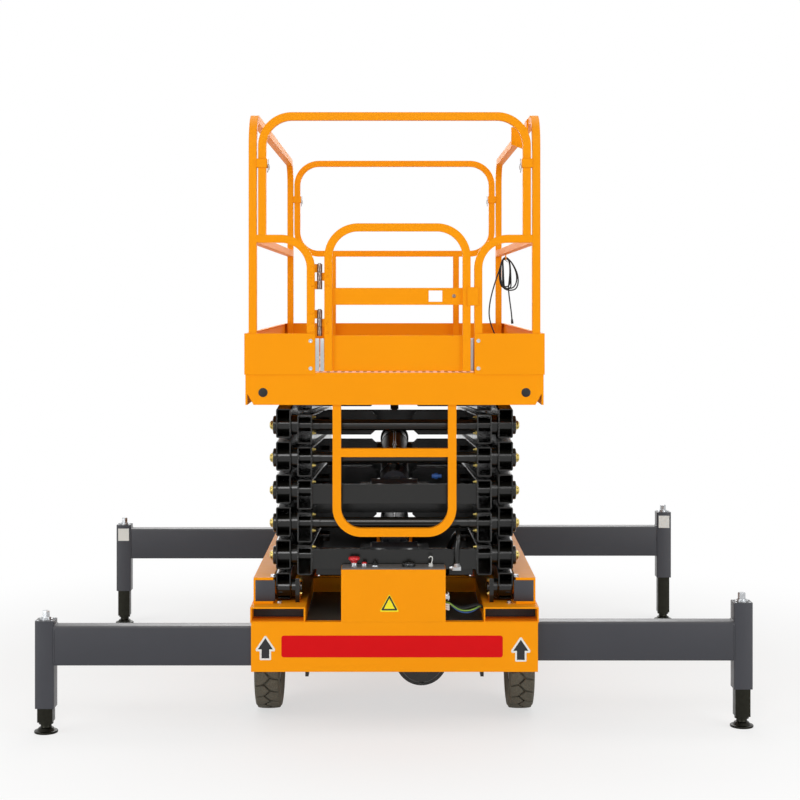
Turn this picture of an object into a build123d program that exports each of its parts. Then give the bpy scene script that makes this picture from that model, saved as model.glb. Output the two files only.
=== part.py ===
from build123d import *
import os
from math import asin, atan, cos, degrees, pi, radians, sin, sqrt, tan

# A towable scissor lift with six stages of arms, folded, its four outriggers out.
# Millimetres. +Z is up, X runs across the machine, and -Y is the end with the gate.
# The origin is on the floor, under the middle of the whole machine.

# ---- driving dimensions: scissor ----
STAGES = 6
PIN_SPAN = 2000.0        # pin to pin along one arm
STAGE_RISE = 134.0       # height of one folded stage
NEAR_PIN_Y = -1065.0
LOWER_PIN_Z = 567.0
ARM_WIDTH = 60.0
ARM_DEPTH = 120.0
ARM_WALL = 5.0
ARM_CORNER = 8.0
ARM_END = 65.0           # tube past its end pin
PIN_OFFSET = 15.0        # tube centre from its end pin
OUTER_ARM_X = 454.0
INNER_ARM_X = 367.0
PIN_RADIUS = 25.0
BUSH_RADIUS = 36.0
SPACER_RADIUS = 40.0
CAP_RADIUS = 35.0
CAP_WIDTH = 15.0
FLUSH_CAP_WIDTH = 5.0    # on the middle pins, which pass the roller channels
NUT_RADIUS = 17.0
NUT_WIDTH = 10.0
PIN_TAIL = 30.0          # pin inside the inner arm
END_SWING = 47.0         # reach of a clipped end round its pin
FIT = 0.3                # running clearance on a radius
SIDE_FIT = 0.5           # running clearance beside an arm

# ---- driving dimensions: cylinders ----
CYLINDER_FOOT = 200.0    # along the frame from its near pin
CYLINDER_EYE = 1700.0
EYE_DROP = 60.0          # eye pin under the pin line
BARREL_RADIUS = 62.0
BARREL_LENGTH = 1290.0
ROD_RADIUS = 34.0
EYE_RADIUS = 38.0
EYE_WIDTH = 50.0
EYE_PIN_RADIUS = 18.0
LUG_WIDTH = 12.0
LUG_GAP = 10.0           # between the rod's eye and each lug
STRUT_X = (100.0, 145.0)
STRUT_Z = (-55.0, 20.0)
MOUNT_BEAM_Y = (300.0, 360.0)
MOUNT_BEAM_Z = (-112.0, -52.0)
EYE_BEAM_Y = (1555.0, 1620.0)
EYE_BEAM_Z = (-20.0, 60.0)
END_BEAM_DEPTH = 60.0
END_BEAM_Z = (-55.0, 25.0)
CROSS_TUBE_RADIUS = 22.0

# ---- driving dimensions: chassis ----
RAIL_X = (360.0, 582.0)
RAIL_Z = (452.0, 514.0)
RAIL_WALL = 6.0
END_Y = 1225.0           # both ends of the machine
CHASSIS_HALF = 578.0
CHANNEL_X = (495.0, 575.0)
CHANNEL_FLANGE = 10.0
CHANNEL_WEB = 8.0
CHANNEL_START_Y = -1141.0
PIVOT_BLOCK_LENGTH = 150.0
EAR_X = (389.0, 405.0)
EAR_HALF = 50.0
AXLE_RADIUS = 20.0
CROSS_TUBE_Y = (-500.0, 0.0, 500.0)
CROSS_TUBE_WIDTH = 50.0
BOX_X = (-335.0, 335.0)  # battery box and power pack, between the rails
BOX_Y = (35.0, 465.0)
BOX_FLANGE_Y = (15.0, 505.0)
BOX_FLANGE = 5.0
BOX_BOTTOM = 300.0
CABINET_X = (-215.0, 206.0)  # control box
CABINET_DEPTH = 115.0
CABINET_BOTTOM = RAIL_Z[0] + 4
CABINET_HEIGHT = 211.0
STOP_BUTTON = (-164.0, 20.0, 47.0)  # x, radius, height
CONTROLS = (  # x, radius, height: lamp, switch, key, lever
    (-123.0, 9.0, 12.0), (-79.0, 8.0, 16.0), (58.0, 14.0, 14.0), (147.0, 7.0, 34.0),
)

# ---- driving dimensions: outriggers ----
BEAM_DEPTH = 80.0
BEAM_HEIGHT = 160.0
BEAM_WALL = 6.0
BEAM_INNER_END = 250.0   # from the middle of the machine, pulled out
POCKET_GAP = 5.0         # over and under a beam in its housing
BEAM_SIDE_GAP = 2.0
PAD_GAP = 0.3
PAD_LENGTH = 60.0
HOUSING_WALL = 6.0
LEG_SIDE = 91.0
LEG_WALL = 5.0
LEG_LENGTH = 354.0
LEG_ABOVE_BEAM = 20.0    # of the leg that stands lowest on its beam
JACK_SIDE = 80.0
JACK_BOTTOM = 46.0
JACK_INSIDE = 150.0      # jack tube held in its leg on the floor
FOOT_RADIUS = 48.0
FOOT_HEIGHT = 12.0
BALL_RADIUS = 24.0
SCREW_RADIUS = 15.0
SCREW_HEIGHT = 37.0

LIP_RISE = 4.0           # the near bumper's folded lip over the rails' underside
LIP_DEPTH = 34.0
NEAR_PLATE_BOTTOM = 255.0
FAR_PLATE_Z = (330.0, 545.0)
HITCH_Z = 370.0          # the drawbar's hinge on the far bumper
HITCH_REACH = 20.0
HITCH_HALF = 24.0
HITCH_EAR = 10.0
HITCH_EAR_HALF = 30.0
HITCH_PIN_RADIUS = 8.0
DRAWBAR_SIDE = 30.0
DRAWBAR_WALL = 4.0
DRAWBAR_LENGTH = 820.0   # hinge to tow eye
TOW_EYE_RADIUS = 14.0
TOW_EYE_PLATE = 16.0
TOW_EYE_HALF = 22.0
TOW_EYE_BELOW = 45.0
TOW_EYE_ABOVE = 30.0

# name, end of the machine, side, beam middle y, beam bottom z, leg middle x, leg raised on its beam
OUTRIGGERS = (
    ("near_left", -1, -1, -1177.0, 277.0, 1420.0, 0.0),
    ("near_right", -1, 1, -1087.0, 277.0, 1420.0, 57.0),
    ("far_left", 1, -1, 1048.0, 354.0, 1465.0, 0.0),
    ("far_right", 1, 1, 1138.0, 354.0, 1465.0, 57.0),
)

# ---- driving dimensions: wheels and axles ----
TYRE_RADIUS = 200.0
TYRE_WIDTH = 110.0
RIM_RADIUS = 102.0
WHEEL_X = 535.0
DRIVE_AXLE_Y = -765.0
STEER_AXLE_Y = 700.0
KINGPIN_X = 430.0
KINGPIN_RADIUS = 12.0
STEER_ARM = 120.0
HANGER_X = (368.0, 382.0)
HANGER_HALF = 42.0
HUB_REACH = 30.0         # axle end past the wheel's middle
AXLE_TUBE_RADIUS = 42.0
CASE_X = 115.0           # gear case of the drive axle
CASE_RISE = 15.0
CASE_OUTLINE = (  # y from the axle, radius: cover, bolted rim, case, neck, motor, motor's end
    (-118.0, 60.0), (-104.0, 60.0), (-86.0, 88.0), (-50.0, 100.0), (-46.0, 112.0), (-26.0, 112.0), (-22.0, 104.0),
    (10.0, 102.0), (45.0, 90.0), (70.0, 62.0), (130.0, 62.0), (130.0, 72.0), (310.0, 72.0), (316.0, 50.0),
    (330.0, 50.0),
)

# ---- driving dimensions: platform ----
TOP_PIN_Z = LOWER_PIN_Z + STAGES * STAGE_RISE
DECK_Z = 1460.0
DECK_PLATE = 5.0
SKIRT_BOTTOM = 1330.0
SKIRT_PLATE = 8.0
SKIRT_HALF = 601.0
SKIRT_FOOT_HALF = SKIRT_HALF - 33
SKIRT_CORNER = 60.0      # height of the cut corner at the skirt's foot
PLUG_X = SKIRT_HALF - 71
PLUG_Z = 1380.0
PLUG_RADIUS = 16.0
JOIST_WIDTH = 50.0
JOIST_Y = (-900.0, -540.0, -180.0, 180.0, 540.0, 900.0)
TOE_PLATE = 4.0
TOE_OUT = SKIRT_HALF + TOE_PLATE
TOE_TOP = 1618.0
TOE_LAP = 8.0
TOE_FLANGE = 14.0
RAIL_TUBE = 32.0
TUBE_WALL = 2.5
SIDE_RAIL_X = SKIRT_HALF - 29
RAIL_END_Y = 1205.0
TOP_RAIL_Z = 2494.0
MID_RAIL_Z = 2000.0
BEND = 120.0
HOOP_X = SIDE_RAIL_X - 38   # the hoops stand inside the side arches, in sleeves
SLEEVE_SIDE = 40.0
SLEEVE_HEIGHT = 36.0
NEAR_SLEEVE_DROP = 189.0    # under the top rail
FAR_SLEEVE_DROP = 197.0
WING_POST_X = 338.0
GATE_X = (-267.0, 291.0)
GATE_TOP_Z = 2046.0
GATE_FOOT_Z = 1466.0
GATE_PLATE = 6.0
GATE_MID_Z = (1733.0, 1802.0)
GATE_TOE_TOP = 1610.0
GATE_HOLE_X = (138.0, 193.0)
GATE_HOLE_Z = (1746.0, 1791.0)
LATCH_Z = (1730.0, 1805.0)
HINGE_RADIUS = 10.0
HINGE_PIN_RADIUS = 4.0
HINGES_Z = ((1608.0, 1713.0), (1796.0, 1898.0))
LADDER_X = 233.0
LADDER_TUBE = 34.0
LADDER_FOOT_Z = 814.0
LADDER_RUNG_Z = 1136.0
LADDER_BEND = 100.0

HOLDER_Y = -1003.0       # hand controller's holder, on the right arch
HOLDER_DROP = 122.0
HOLDER_HEIGHT = 100.0
HOLDER_REACH = 70.0
HOLDER_SLANT = 28.0
HOLDER_PLATE = 6.0
HOLDER_FLANGE = 100.0

# ---- worked out from the above ----
FOLD_ANGLE = degrees(asin(STAGE_RISE / PIN_SPAN))
TUBE_LEAN = degrees(atan(2 * PIN_OFFSET / PIN_SPAN))
ARM_LENGTH = PIN_SPAN + 2 * ARM_END
CHANNEL_HALF = LOWER_PIN_Z - RAIL_Z[1]
ROLLER_RADIUS = CHANNEL_HALF - CHANNEL_FLANGE - FIT
INNER_ARM = (INNER_ARM_X - ARM_WIDTH / 2, INNER_ARM_X + ARM_WIDTH / 2)
OUTER_ARM = (OUTER_ARM_X - ARM_WIDTH / 2, OUTER_ARM_X + ARM_WIDTH / 2)
FAR_PIN_Y = NEAR_PIN_Y + PIN_SPAN * cos(radians(FOLD_ANGLE))
LUG_X = EYE_WIDTH / 2 + LUG_GAP
FAR_HOUSING_Y = OUTRIGGERS[2][3] - BEAM_DEPTH / 2 - BEAM_SIDE_GAP - HOUSING_WALL


def block(x, y, z):
    """A box between its low and high x, y and z."""
    middle = [(low + high) / 2 for low, high in (x, y, z)]
    size = [high - low for low, high in (x, y, z)]
    return Pos(*middle) * Box(*size)


def mirrored(x):
    """The same stretch of x on the other side of the machine."""
    return (-x[1], -x[0])


def on_side(side, x):
    return x if side > 0 else mirrored(x)


def bar(start, end, radius):
    """A round bar from one point to another."""
    run = Vector(*end) - Vector(*start)
    place = Plane(origin=start, z_dir=run)
    return place * Cylinder(radius, run.length, align=(Align.CENTER, Align.CENTER, Align.MIN))


def cross_bar(x, y, z, radius):
    """A round bar along X."""
    return bar((x[0], y, z), (x[1], y, z), radius)


def box_tube(x, y, z, wall, along):
    """A hollow box, open at both ends along the named axis."""
    inside = [(low + wall, high - wall) for low, high in (x, y, z)]
    through = "xyz".index(along)
    low, high = (x, y, z)[through]
    inside[through] = (low - 1, high + 1)
    return block(x, y, z) - block(*inside)


def bent_tube(points, bend, across, closed=False):
    """A square guard-rail tube along a line with rounded corners; across is normal to its plane."""
    def swept(corners, side):
        path = FilletPolyline(*corners, radius=bend, close=closed)
        start = Plane(origin=path @ 0, x_dir=across, z_dir=path % 0)
        return sweep(start * Rectangle(side, side), path=path)
    solid = swept(points, RAIL_TUBE)
    if closed:
        return solid
    first, second = Vector(*points[0]), Vector(*points[1])
    last, before = Vector(*points[-1]), Vector(*points[-2])
    longer = [first + (first - second).normalized(), *[Vector(*p) for p in points[1:-1]],
              last + (last - before).normalized()]
    return solid - swept(longer, RAIL_TUBE - 2 * TUBE_WALL)


def write(node, *pieces):
    """One STEP file for a node, from one or more solids."""
    solids = [solid for piece in pieces for solid in piece.solids()]
    export_step(Compound(children=solids) if len(solids) > 1 else solids[0],
                os.path.join("parts", node + ".step"))


# ---- scissor arms; each is drawn along Y from its near pin, then laid at the fold angle ----

def lay(stage, inner):
    """The place of an arm's own frame: outer arms climb to the far end, inner arms drop to it."""
    pin = stage if inner else stage - 1
    turn = -FOLD_ANGLE if inner else FOLD_ANGLE
    return Pos(0, NEAR_PIN_Y, LOWER_PIN_Z + pin * STAGE_RISE) * Rot(turn, 0, 0)


def clip(x, at_far, at_top):
    """The corner cut off an arm end that swings past the chassis or the deck."""
    edge = sqrt(END_SWING**2 - (ARM_DEPTH / 2 - PIN_OFFSET)**2)
    reach = ARM_END + 10
    far_rise = (reach * sin(radians(60)) - END_SWING) / cos(radians(60))
    low = ARM_DEPTH / 2 - PIN_OFFSET
    corner = [(edge, -low), (reach, far_rise), (reach, -low - 20), (edge, -low - 20)]
    along = [(y, z if not at_top else -z) for y, z in corner]
    along = [(PIN_SPAN + y if at_far else -y, z) for y, z in along]
    face = make_face(Polyline(*[(0, y, z) for y, z in along], close=True))
    width = x[1] - x[0] + 4
    return Pos(x[0] - 2, 0, 0) * extrude(face, amount=width, dir=(1, 0, 0))


def arm_tube(x_middle, lean):
    """A hollow arm, its middle line leaning across the line of its pins."""
    outline = RectangleRounded(ARM_WIDTH, ARM_DEPTH, ARM_CORNER)
    hollow = Rectangle(ARM_WIDTH - 2 * ARM_WALL, ARM_DEPTH - 2 * ARM_WALL)
    section = Plane(origin=(0, -ARM_LENGTH / 2, 0), x_dir=(1, 0, 0), z_dir=(0, 1, 0)) * (outline - hollow)
    tube = extrude(section, amount=ARM_LENGTH, dir=(0, 1, 0))
    return Pos(x_middle, PIN_SPAN / 2, 0) * Rot(lean * TUBE_LEAN, 0, 0) * tube


def outer_arm(stage, side):
    """An outer arm with a bush for each of its three pins."""
    x = on_side(side, OUTER_ARM)
    arm = arm_tube(side * OUTER_ARM_X, -1)
    for y in (0, PIN_SPAN / 2, PIN_SPAN):
        arm += cross_bar(x, y, 0, BUSH_RADIUS)
    if stage == 1:
        arm -= clip(x, at_far=False, at_top=False)
    if stage == STAGES:
        arm -= clip(x, at_far=True, at_top=True)
        arm += roller_axle(side, PIN_SPAN, OUTER_ARM[1] - 10)
        bores = (0, PIN_SPAN / 2)
    else:
        bores = (0, PIN_SPAN / 2, PIN_SPAN)
    for y in bores:
        arm -= cross_bar((x[0] - 1, x[1] + 1), y, 0, PIN_RADIUS + FIT)
    return arm


def roller_axle(side, y, start):
    """A stub axle out to a roller in its channel, with a shoulder each side of the roller."""
    roller = (CHANNEL_X[0] + 14, CHANNEL_X[0] + 60)
    steps = (  # x from, x to, radius
        (start, roller[1] + 6, AXLE_RADIUS),
        (roller[0] - 7, roller[0] - SIDE_FIT, AXLE_RADIUS + 8),
        (roller[1] + SIDE_FIT, roller[1] + 6, AXLE_RADIUS + 8),
    )
    axle = None
    for low, high, radius in steps:
        step = cross_bar(on_side(side, (low, high)), y, 0, radius)
        axle = step if axle is None else axle + step
    return axle


def roller(side, y):
    x = on_side(side, (CHANNEL_X[0] + 14, CHANNEL_X[0] + 60))
    return cross_bar(x, y, 0, ROLLER_RADIUS) - cross_bar((x[0] - 1, x[1] + 1), y, 0, AXLE_RADIUS + FIT)


def pivot_pin(side, y, flush=False):
    """A pin fixed in the inner arm: spacer, running length in the outer arm, cap and nut."""
    cap = OUTER_ARM[1] + SIDE_FIT
    end = cap + (FLUSH_CAP_WIDTH if flush else CAP_WIDTH)
    steps = [  # x from, x to, radius
        (INNER_ARM[0] - PIN_TAIL, cap, PIN_RADIUS),
        (INNER_ARM[1], OUTER_ARM[0] - SIDE_FIT, SPACER_RADIUS),
        (cap, end, CAP_RADIUS),
    ]
    if not flush:
        steps.append((end, end + NUT_WIDTH, NUT_RADIUS))
    pin = None
    for low, high, radius in steps:
        step = cross_bar(on_side(side, (low, high)), y, 0, radius)
        pin = step if pin is None else pin + step
    return pin


def cylinder_foot():
    """Two struts and a low beam that hold a cylinder's foot pin behind the end beam."""
    between = (-INNER_ARM[0], INNER_ARM[0])
    mount = block(between, MOUNT_BEAM_Y, MOUNT_BEAM_Z)
    for side in (-1, 1):
        mount += block(on_side(side, STRUT_X), (0, MOUNT_BEAM_Y[1]), STRUT_Z)
    return mount + cross_bar((-STRUT_X[1], STRUT_X[1]), CYLINDER_FOOT, 0, EYE_PIN_RADIUS)


def eye_beam():
    """The beam that a cylinder pushes on, with the two lugs that take its rod's eye."""
    beam = block((-INNER_ARM[0], INNER_ARM[0]), EYE_BEAM_Y, EYE_BEAM_Z)
    for side in (-1, 1):
        face = make_face(Polyline(
            (0, EYE_BEAM_Y[0] + 10, EYE_BEAM_Z[0] + 10), (0, EYE_BEAM_Y[1], EYE_BEAM_Z[1]),
            (0, CYLINDER_EYE + 30, -EYE_DROP + 25), (0, CYLINDER_EYE + 30, -EYE_DROP - 32),
            (0, CYLINDER_EYE - 30, -EYE_DROP - 32), close=True))
        x = on_side(side, (LUG_X, LUG_X + LUG_WIDTH))
        beam += Pos(x[0], 0, 0) * extrude(face, amount=LUG_WIDTH, dir=(1, 0, 0))
    return beam


def inner_frame(stage):
    """Two inner arms with the pins that they carry and the members between them."""
    frame = arm_tube(-INNER_ARM_X, 1) + arm_tube(INNER_ARM_X, 1)
    if stage == 1:
        for side in (-1, 1):
            frame -= clip(on_side(side, INNER_ARM), at_far=True, at_top=False)
    if stage == STAGES:
        for side in (-1, 1):
            frame -= clip(on_side(side, INNER_ARM), at_far=False, at_top=True)
    between = (-INNER_ARM[0], INNER_ARM[0])
    for side in (-1, 1):
        frame += pivot_pin(side, PIN_SPAN / 2, flush=True)
        if stage < STAGES:
            frame += pivot_pin(side, 0)
        if stage > 1:
            frame += pivot_pin(side, PIN_SPAN)
    if stage == 1:
        for side in (-1, 1):
            frame += roller_axle(side, PIN_SPAN, INNER_ARM[1] - 10)
        frame += cross_bar((-INNER_ARM[1], INNER_ARM[1]), PIN_SPAN, 0, AXLE_RADIUS)
    if stage in (1, 3):
        frame += block(between, (-END_BEAM_DEPTH / 2, END_BEAM_DEPTH / 2), END_BEAM_Z)
        frame += cylinder_foot()
    elif stage < STAGES:
        frame += cross_bar(between, 0, 0, CROSS_TUBE_RADIUS)
    if stage in (3, 5):
        frame += eye_beam()
    elif stage > 1:
        frame += cross_bar(between, PIN_SPAN, 0, CROSS_TUBE_RADIUS)
    if stage == STAGES:
        frame += cross_bar(between, CYLINDER_FOOT, -20, CROSS_TUBE_RADIUS)
        for side in (-1, 1):
            frame -= cross_bar(on_side(side, (INNER_ARM[0] - 1, INNER_ARM[1] + 1)), 0, 0, PIN_RADIUS + FIT)
    return frame


def make_arms():
    for stage in range(1, STAGES + 1):
        place = lay(stage, inner=False)
        pieces = [place * outer_arm(stage, side) for side in (-1, 1)]
        if stage == STAGES:
            pieces += [place * roller(side, PIN_SPAN) for side in (-1, 1)]
        write(f"outer_arm_{stage}", *pieces)
        place = lay(stage, inner=True)
        write(f"inner_arm_{stage}", place * inner_frame(stage))
    place = lay(1, inner=True)
    write("lower_rollers", *[place * roller(side, PIN_SPAN) for side in (-1, 1)])


def make_cylinder(name, foot_stage, eye_stage):
    """A lift cylinder from one inner frame to the next but one, drawn from its foot pin."""
    foot = (lay(foot_stage, inner=True) * Pos(0, CYLINDER_FOOT, 0)).position
    eye = (lay(eye_stage, inner=True) * Pos(0, CYLINDER_EYE, -EYE_DROP)).position
    run = eye - foot
    turn = degrees(asin(run.Z / run.length))
    place = Pos(*foot) * Rot(turn, 0, 0)
    tail = STRUT_X[0] - 2
    barrel = bar((0, 60, 0), (0, 60 + BARREL_LENGTH, 0), BARREL_RADIUS)
    barrel += block((-EYE_WIDTH / 2, EYE_WIDTH / 2), (0, 70), (-EYE_RADIUS, EYE_RADIUS))
    barrel += cross_bar((-tail, tail), 0, 0, EYE_RADIUS)
    barrel += bar((0, 60 + BARREL_LENGTH - 50, 0), (0, 60 + BARREL_LENGTH, 0), BARREL_RADIUS + 6)
    barrel -= cross_bar((-tail - 1, tail + 1), 0, 0, EYE_PIN_RADIUS + FIT)
    barrel -= bar((0, 120, 0), (0, 61 + BARREL_LENGTH, 0), ROD_RADIUS + FIT)
    rod = bar((0, 140, 0), (0, run.length - EYE_RADIUS + 4, 0), ROD_RADIUS)
    rod += cross_bar((-EYE_WIDTH / 2, EYE_WIDTH / 2), run.length, 0, EYE_RADIUS)
    pin = LUG_X - 2
    rod += cross_bar((-pin, pin), run.length, 0, EYE_PIN_RADIUS)
    write(f"{name}_cylinder_barrel", place * barrel)
    write(f"{name}_cylinder_rod", place * rod)
    print(name, "cylinder foot", foot, "eye", eye, "length", run.length, "angle", turn)


# ---- chassis ----

def make_chassis_rails():
    """Two box rails joined by three cross tubes."""
    start, end = -END_Y + HOUSING_WALL, FAR_HOUSING_Y
    frame = None
    for side in (-1, 1):
        rail = box_tube(on_side(side, RAIL_X), (start, end), RAIL_Z, RAIL_WALL, "y")
        frame = rail if frame is None else frame + rail
    half = CROSS_TUBE_WIDTH / 2
    for y in CROSS_TUBE_Y:
        frame += box_tube((-RAIL_X[0], RAIL_X[0]), (y - half, y + half), RAIL_Z, RAIL_WALL, "x")
    write("chassis_rails", frame)


def beam_housing(end):
    """The two side-by-side tubes at one end of the chassis that the outrigger beams slide in."""
    rows = [row for row in OUTRIGGERS if row[1] == end]
    bottom = rows[0][4]
    z = (bottom - POCKET_GAP, bottom + BEAM_HEIGHT + POCKET_GAP)
    gap = BEAM_SIDE_GAP
    low = min(row[3] for row in rows) - BEAM_DEPTH / 2 - gap - HOUSING_WALL
    high = max(row[3] for row in rows) + BEAM_DEPTH / 2 + gap + HOUSING_WALL
    x = (-CHASSIS_HALF, CHASSIS_HALF)
    housing = block(x, (low, high), (z[0] - HOUSING_WALL, z[1] + HOUSING_WALL))
    for _, _, side, y, _, _, _ in rows:
        half = BEAM_DEPTH / 2
        housing -= block((x[0] - 1, x[1] + 1), (y - half - gap, y + half + gap), z)
        mouth = on_side(side, (CHASSIS_HALF - PAD_LENGTH, CHASSIS_HALF))
        inside = on_side(side, (BEAM_INNER_END + 10, BEAM_INNER_END + 10 + PAD_LENGTH))
        for pad_x in (mouth, inside):
            housing += block(pad_x, (y - half - gap, y + half + gap), (z[0], z[0] + POCKET_GAP - PAD_GAP))
            housing += block(pad_x, (y - half - gap, y + half + gap), (z[1] - POCKET_GAP + PAD_GAP, z[1]))
    return housing, low, high


def make_bumpers():
    housing, low, _ = beam_housing(-1)
    x = (-CHASSIS_HALF, CHASSIS_HALF)
    top = RAIL_Z[0] + LIP_RISE
    plate = block(x, (low, low + HOUSING_WALL), (NEAR_PLATE_BOTTOM, top))
    lip = block((-RAIL_X[0], RAIL_X[0]), (low, low + LIP_DEPTH), (top - HOUSING_WALL, top))
    write("near_bumper", housing + plate + lip)
    housing, _, high = beam_housing(1)
    plate = block(x, (high - HOUSING_WALL, high), FAR_PLATE_Z)
    ears = None
    outside = HITCH_HALF + SIDE_FIT + HITCH_EAR
    for side in (-1, 1):
        ear = block(on_side(side, (HITCH_HALF + SIDE_FIT, outside)), (high - 1, END_Y),
                    (HITCH_Z - HITCH_EAR_HALF, HITCH_Z + HITCH_EAR_HALF))
        ears = ear if ears is None else ears + ear
    pin = cross_bar((-outside, outside), high + HITCH_REACH, HITCH_Z, HITCH_PIN_RADIUS)
    write("far_bumper", housing + plate + ears + pin)


def make_channels():
    """The roller channels on the rails, with the pivot block, ear and pin of the lowest arms."""
    pieces = []
    end = FAR_HOUSING_Y
    z = (RAIL_Z[1], LOWER_PIN_Z + CHANNEL_HALF)
    for side in (-1, 1):
        x = on_side(side, CHANNEL_X)
        hollow = on_side(side, (CHANNEL_X[0] - 1, CHANNEL_X[1] - CHANNEL_WEB))
        inside = (z[0] + CHANNEL_FLANGE, z[1] - CHANNEL_FLANGE)
        channel = block(x, (CHANNEL_START_Y, end), z)
        channel -= block(hollow, (CHANNEL_START_Y - 1, end + 1), inside)
        stop = on_side(side, (CHANNEL_X[0], CHANNEL_X[1] - CHANNEL_WEB))
        channel += block(stop, (CHANNEL_START_Y + 6, CHANNEL_START_Y + PIVOT_BLOCK_LENGTH), inside)
        ear = block(on_side(side, EAR_X), (NEAR_PIN_Y - EAR_HALF, NEAR_PIN_Y + EAR_HALF),
                    (RAIL_Z[1], LOWER_PIN_Z + 45))
        pin = cross_bar(on_side(side, (EAR_X[0] - 8, CHANNEL_X[0] + 10)), NEAR_PIN_Y, LOWER_PIN_Z, PIN_RADIUS)
        pieces.append(channel + ear + pin)
    write("roller_channels", *pieces)


def make_chassis_boxes():
    """The battery box and the hydraulic power pack, hung by flanges on the cross tubes."""
    for name, end in (("battery_box", -1), ("power_pack", 1)):
        body = block(BOX_X, on_side(end, BOX_Y), (BOX_BOTTOM, RAIL_Z[1]))
        flange = block(BOX_X, on_side(end, BOX_FLANGE_Y), (RAIL_Z[1], RAIL_Z[1] + BOX_FLANGE))
        write(name, body + flange)


def make_control_box():
    """The cabinet behind the near bumper, and the controls on its lid."""
    top = CABINET_BOTTOM + CABINET_HEIGHT
    write("control_box", block(CABINET_X, (-END_Y, -END_Y + CABINET_DEPTH), (CABINET_BOTTOM, top)))
    y = -END_Y + CABINET_DEPTH / 2
    pieces = []
    for x, radius, height in CONTROLS:
        pieces.append(bar((x, y, top), (x, y, top + height), radius))
    x, radius, height = STOP_BUTTON
    stem = top + height
    stop = bar((x, y, top), (x, y, top + 10), radius) + bar((x, y, top), (x, y, stem), radius * 0.6)
    stop += bar((x, y, stem - 22), (x, y, stem), radius)
    write("control_knobs", stop, *pieces)


# ---- outriggers ----

def make_outrigger(name, side, y, beam_z, leg_x, raised):
    half = BEAM_DEPTH / 2
    inner = on_side(side, (BEAM_INNER_END, leg_x - LEG_SIDE / 2 + LEG_WALL))
    beam = box_tube(inner, (y - half, y + half), (beam_z, beam_z + BEAM_HEIGHT), BEAM_WALL, "x")
    top = beam_z + BEAM_HEIGHT + LEG_ABOVE_BEAM + raised
    bottom = top - LEG_LENGTH
    leg_half = LEG_SIDE / 2
    hollow = leg_half - LEG_WALL
    x = side * leg_x
    leg = block((x - leg_half, x + leg_half), (y - leg_half, y + leg_half), (bottom, top))
    beam += leg
    beam -= block((x - hollow, x + hollow), (y - hollow, y + hollow), (bottom - 1, top - LEG_WALL))
    screw = extrude(Plane.XY.offset(top) * Pos(x, y) * RegularPolygon(SCREW_RADIUS, 6), SCREW_HEIGHT)
    write(f"outrigger_beam_{name}", beam + screw)
    jack_half = JACK_SIDE / 2
    jack_top = bottom + JACK_INSIDE
    jack = block((x - jack_half, x + jack_half), (y - jack_half, y + jack_half), (JACK_BOTTOM, jack_top))
    jack += Pos(x, y, FOOT_HEIGHT + BALL_RADIUS * 0.7) * Sphere(BALL_RADIUS)
    jack += Pos(x, y, FOOT_HEIGHT / 2) * Cylinder(FOOT_RADIUS, FOOT_HEIGHT)
    jack &= block((x - 99, x + 99), (y - 99, y + 99), (0, jack_top + 1))
    write(f"jack_leg_{name}", jack)


# ---- wheels and axles ----

def make_wheel(name, side, y):
    x = side * WHEEL_X
    half = TYRE_WIDTH / 2
    profile = make_face(Polyline(
        (RIM_RADIUS + FIT, -half + 12), (TYRE_RADIUS - 26, -half), (TYRE_RADIUS - 8, -half + 6),
        (TYRE_RADIUS, -half + 22), (TYRE_RADIUS, half - 22), (TYRE_RADIUS - 8, half - 6),
        (TYRE_RADIUS - 26, half), (RIM_RADIUS + FIT, half - 12), close=True))
    tyre = revolve(profile, Axis.Y)
    place = Pos(x, y, TYRE_RADIUS) * Rot(0, 0, -90)
    write(f"tyre_{name}", place * tyre)
    hub = make_face(Polyline(
        (AXLE_RADIUS + FIT, -45), (48, -45), (48, -12), (RIM_RADIUS - 14, 6), (RIM_RADIUS - 14, -half + 14),
        (RIM_RADIUS, -half + 14), (RIM_RADIUS, half - 14), (RIM_RADIUS - 14, half - 14),
        (RIM_RADIUS - 14, 18), (48, 0), (48, 22), (AXLE_RADIUS + FIT, 22), close=True))
    place = Pos(x, y, TYRE_RADIUS) * Rot(0, 0, -90 if side > 0 else 90)
    write(f"rim_{name}", place * revolve(hub, Axis.Y))


def hangers(y, bottom):
    """Plates that carry an axle under the rails."""
    pieces = None
    for side in (-1, 1):
        x = on_side(side, HANGER_X)
        plate = block(x, (y - HANGER_HALF, y + HANGER_HALF), (bottom, RAIL_Z[0]))
        pieces = plate if pieces is None else pieces + plate
    return pieces


def make_drive_axle():
    """An axle tube with an off-centre gear case, its cover to the near end and its motor behind."""
    y, z = DRIVE_AXLE_Y, TYRE_RADIUS
    height = z + CASE_RISE
    tube_end = WHEEL_X - TYRE_WIDTH / 2 - 5
    axle = cross_bar((-tube_end, tube_end), y, z, AXLE_TUBE_RADIUS)
    axle += cross_bar((-WHEEL_X - HUB_REACH, WHEEL_X + HUB_REACH), y, z, AXLE_RADIUS)
    outline = [(radius, along, 0) for along, radius in CASE_OUTLINE]
    case = revolve(make_face(Polyline((0, outline[0][1], 0), *outline, (0, outline[-1][1], 0), close=True)), Axis.Y)
    axle += Pos(CASE_X, y, height) * case
    write("drive_axle", axle + hangers(y, z - AXLE_TUBE_RADIUS - 18))


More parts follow.
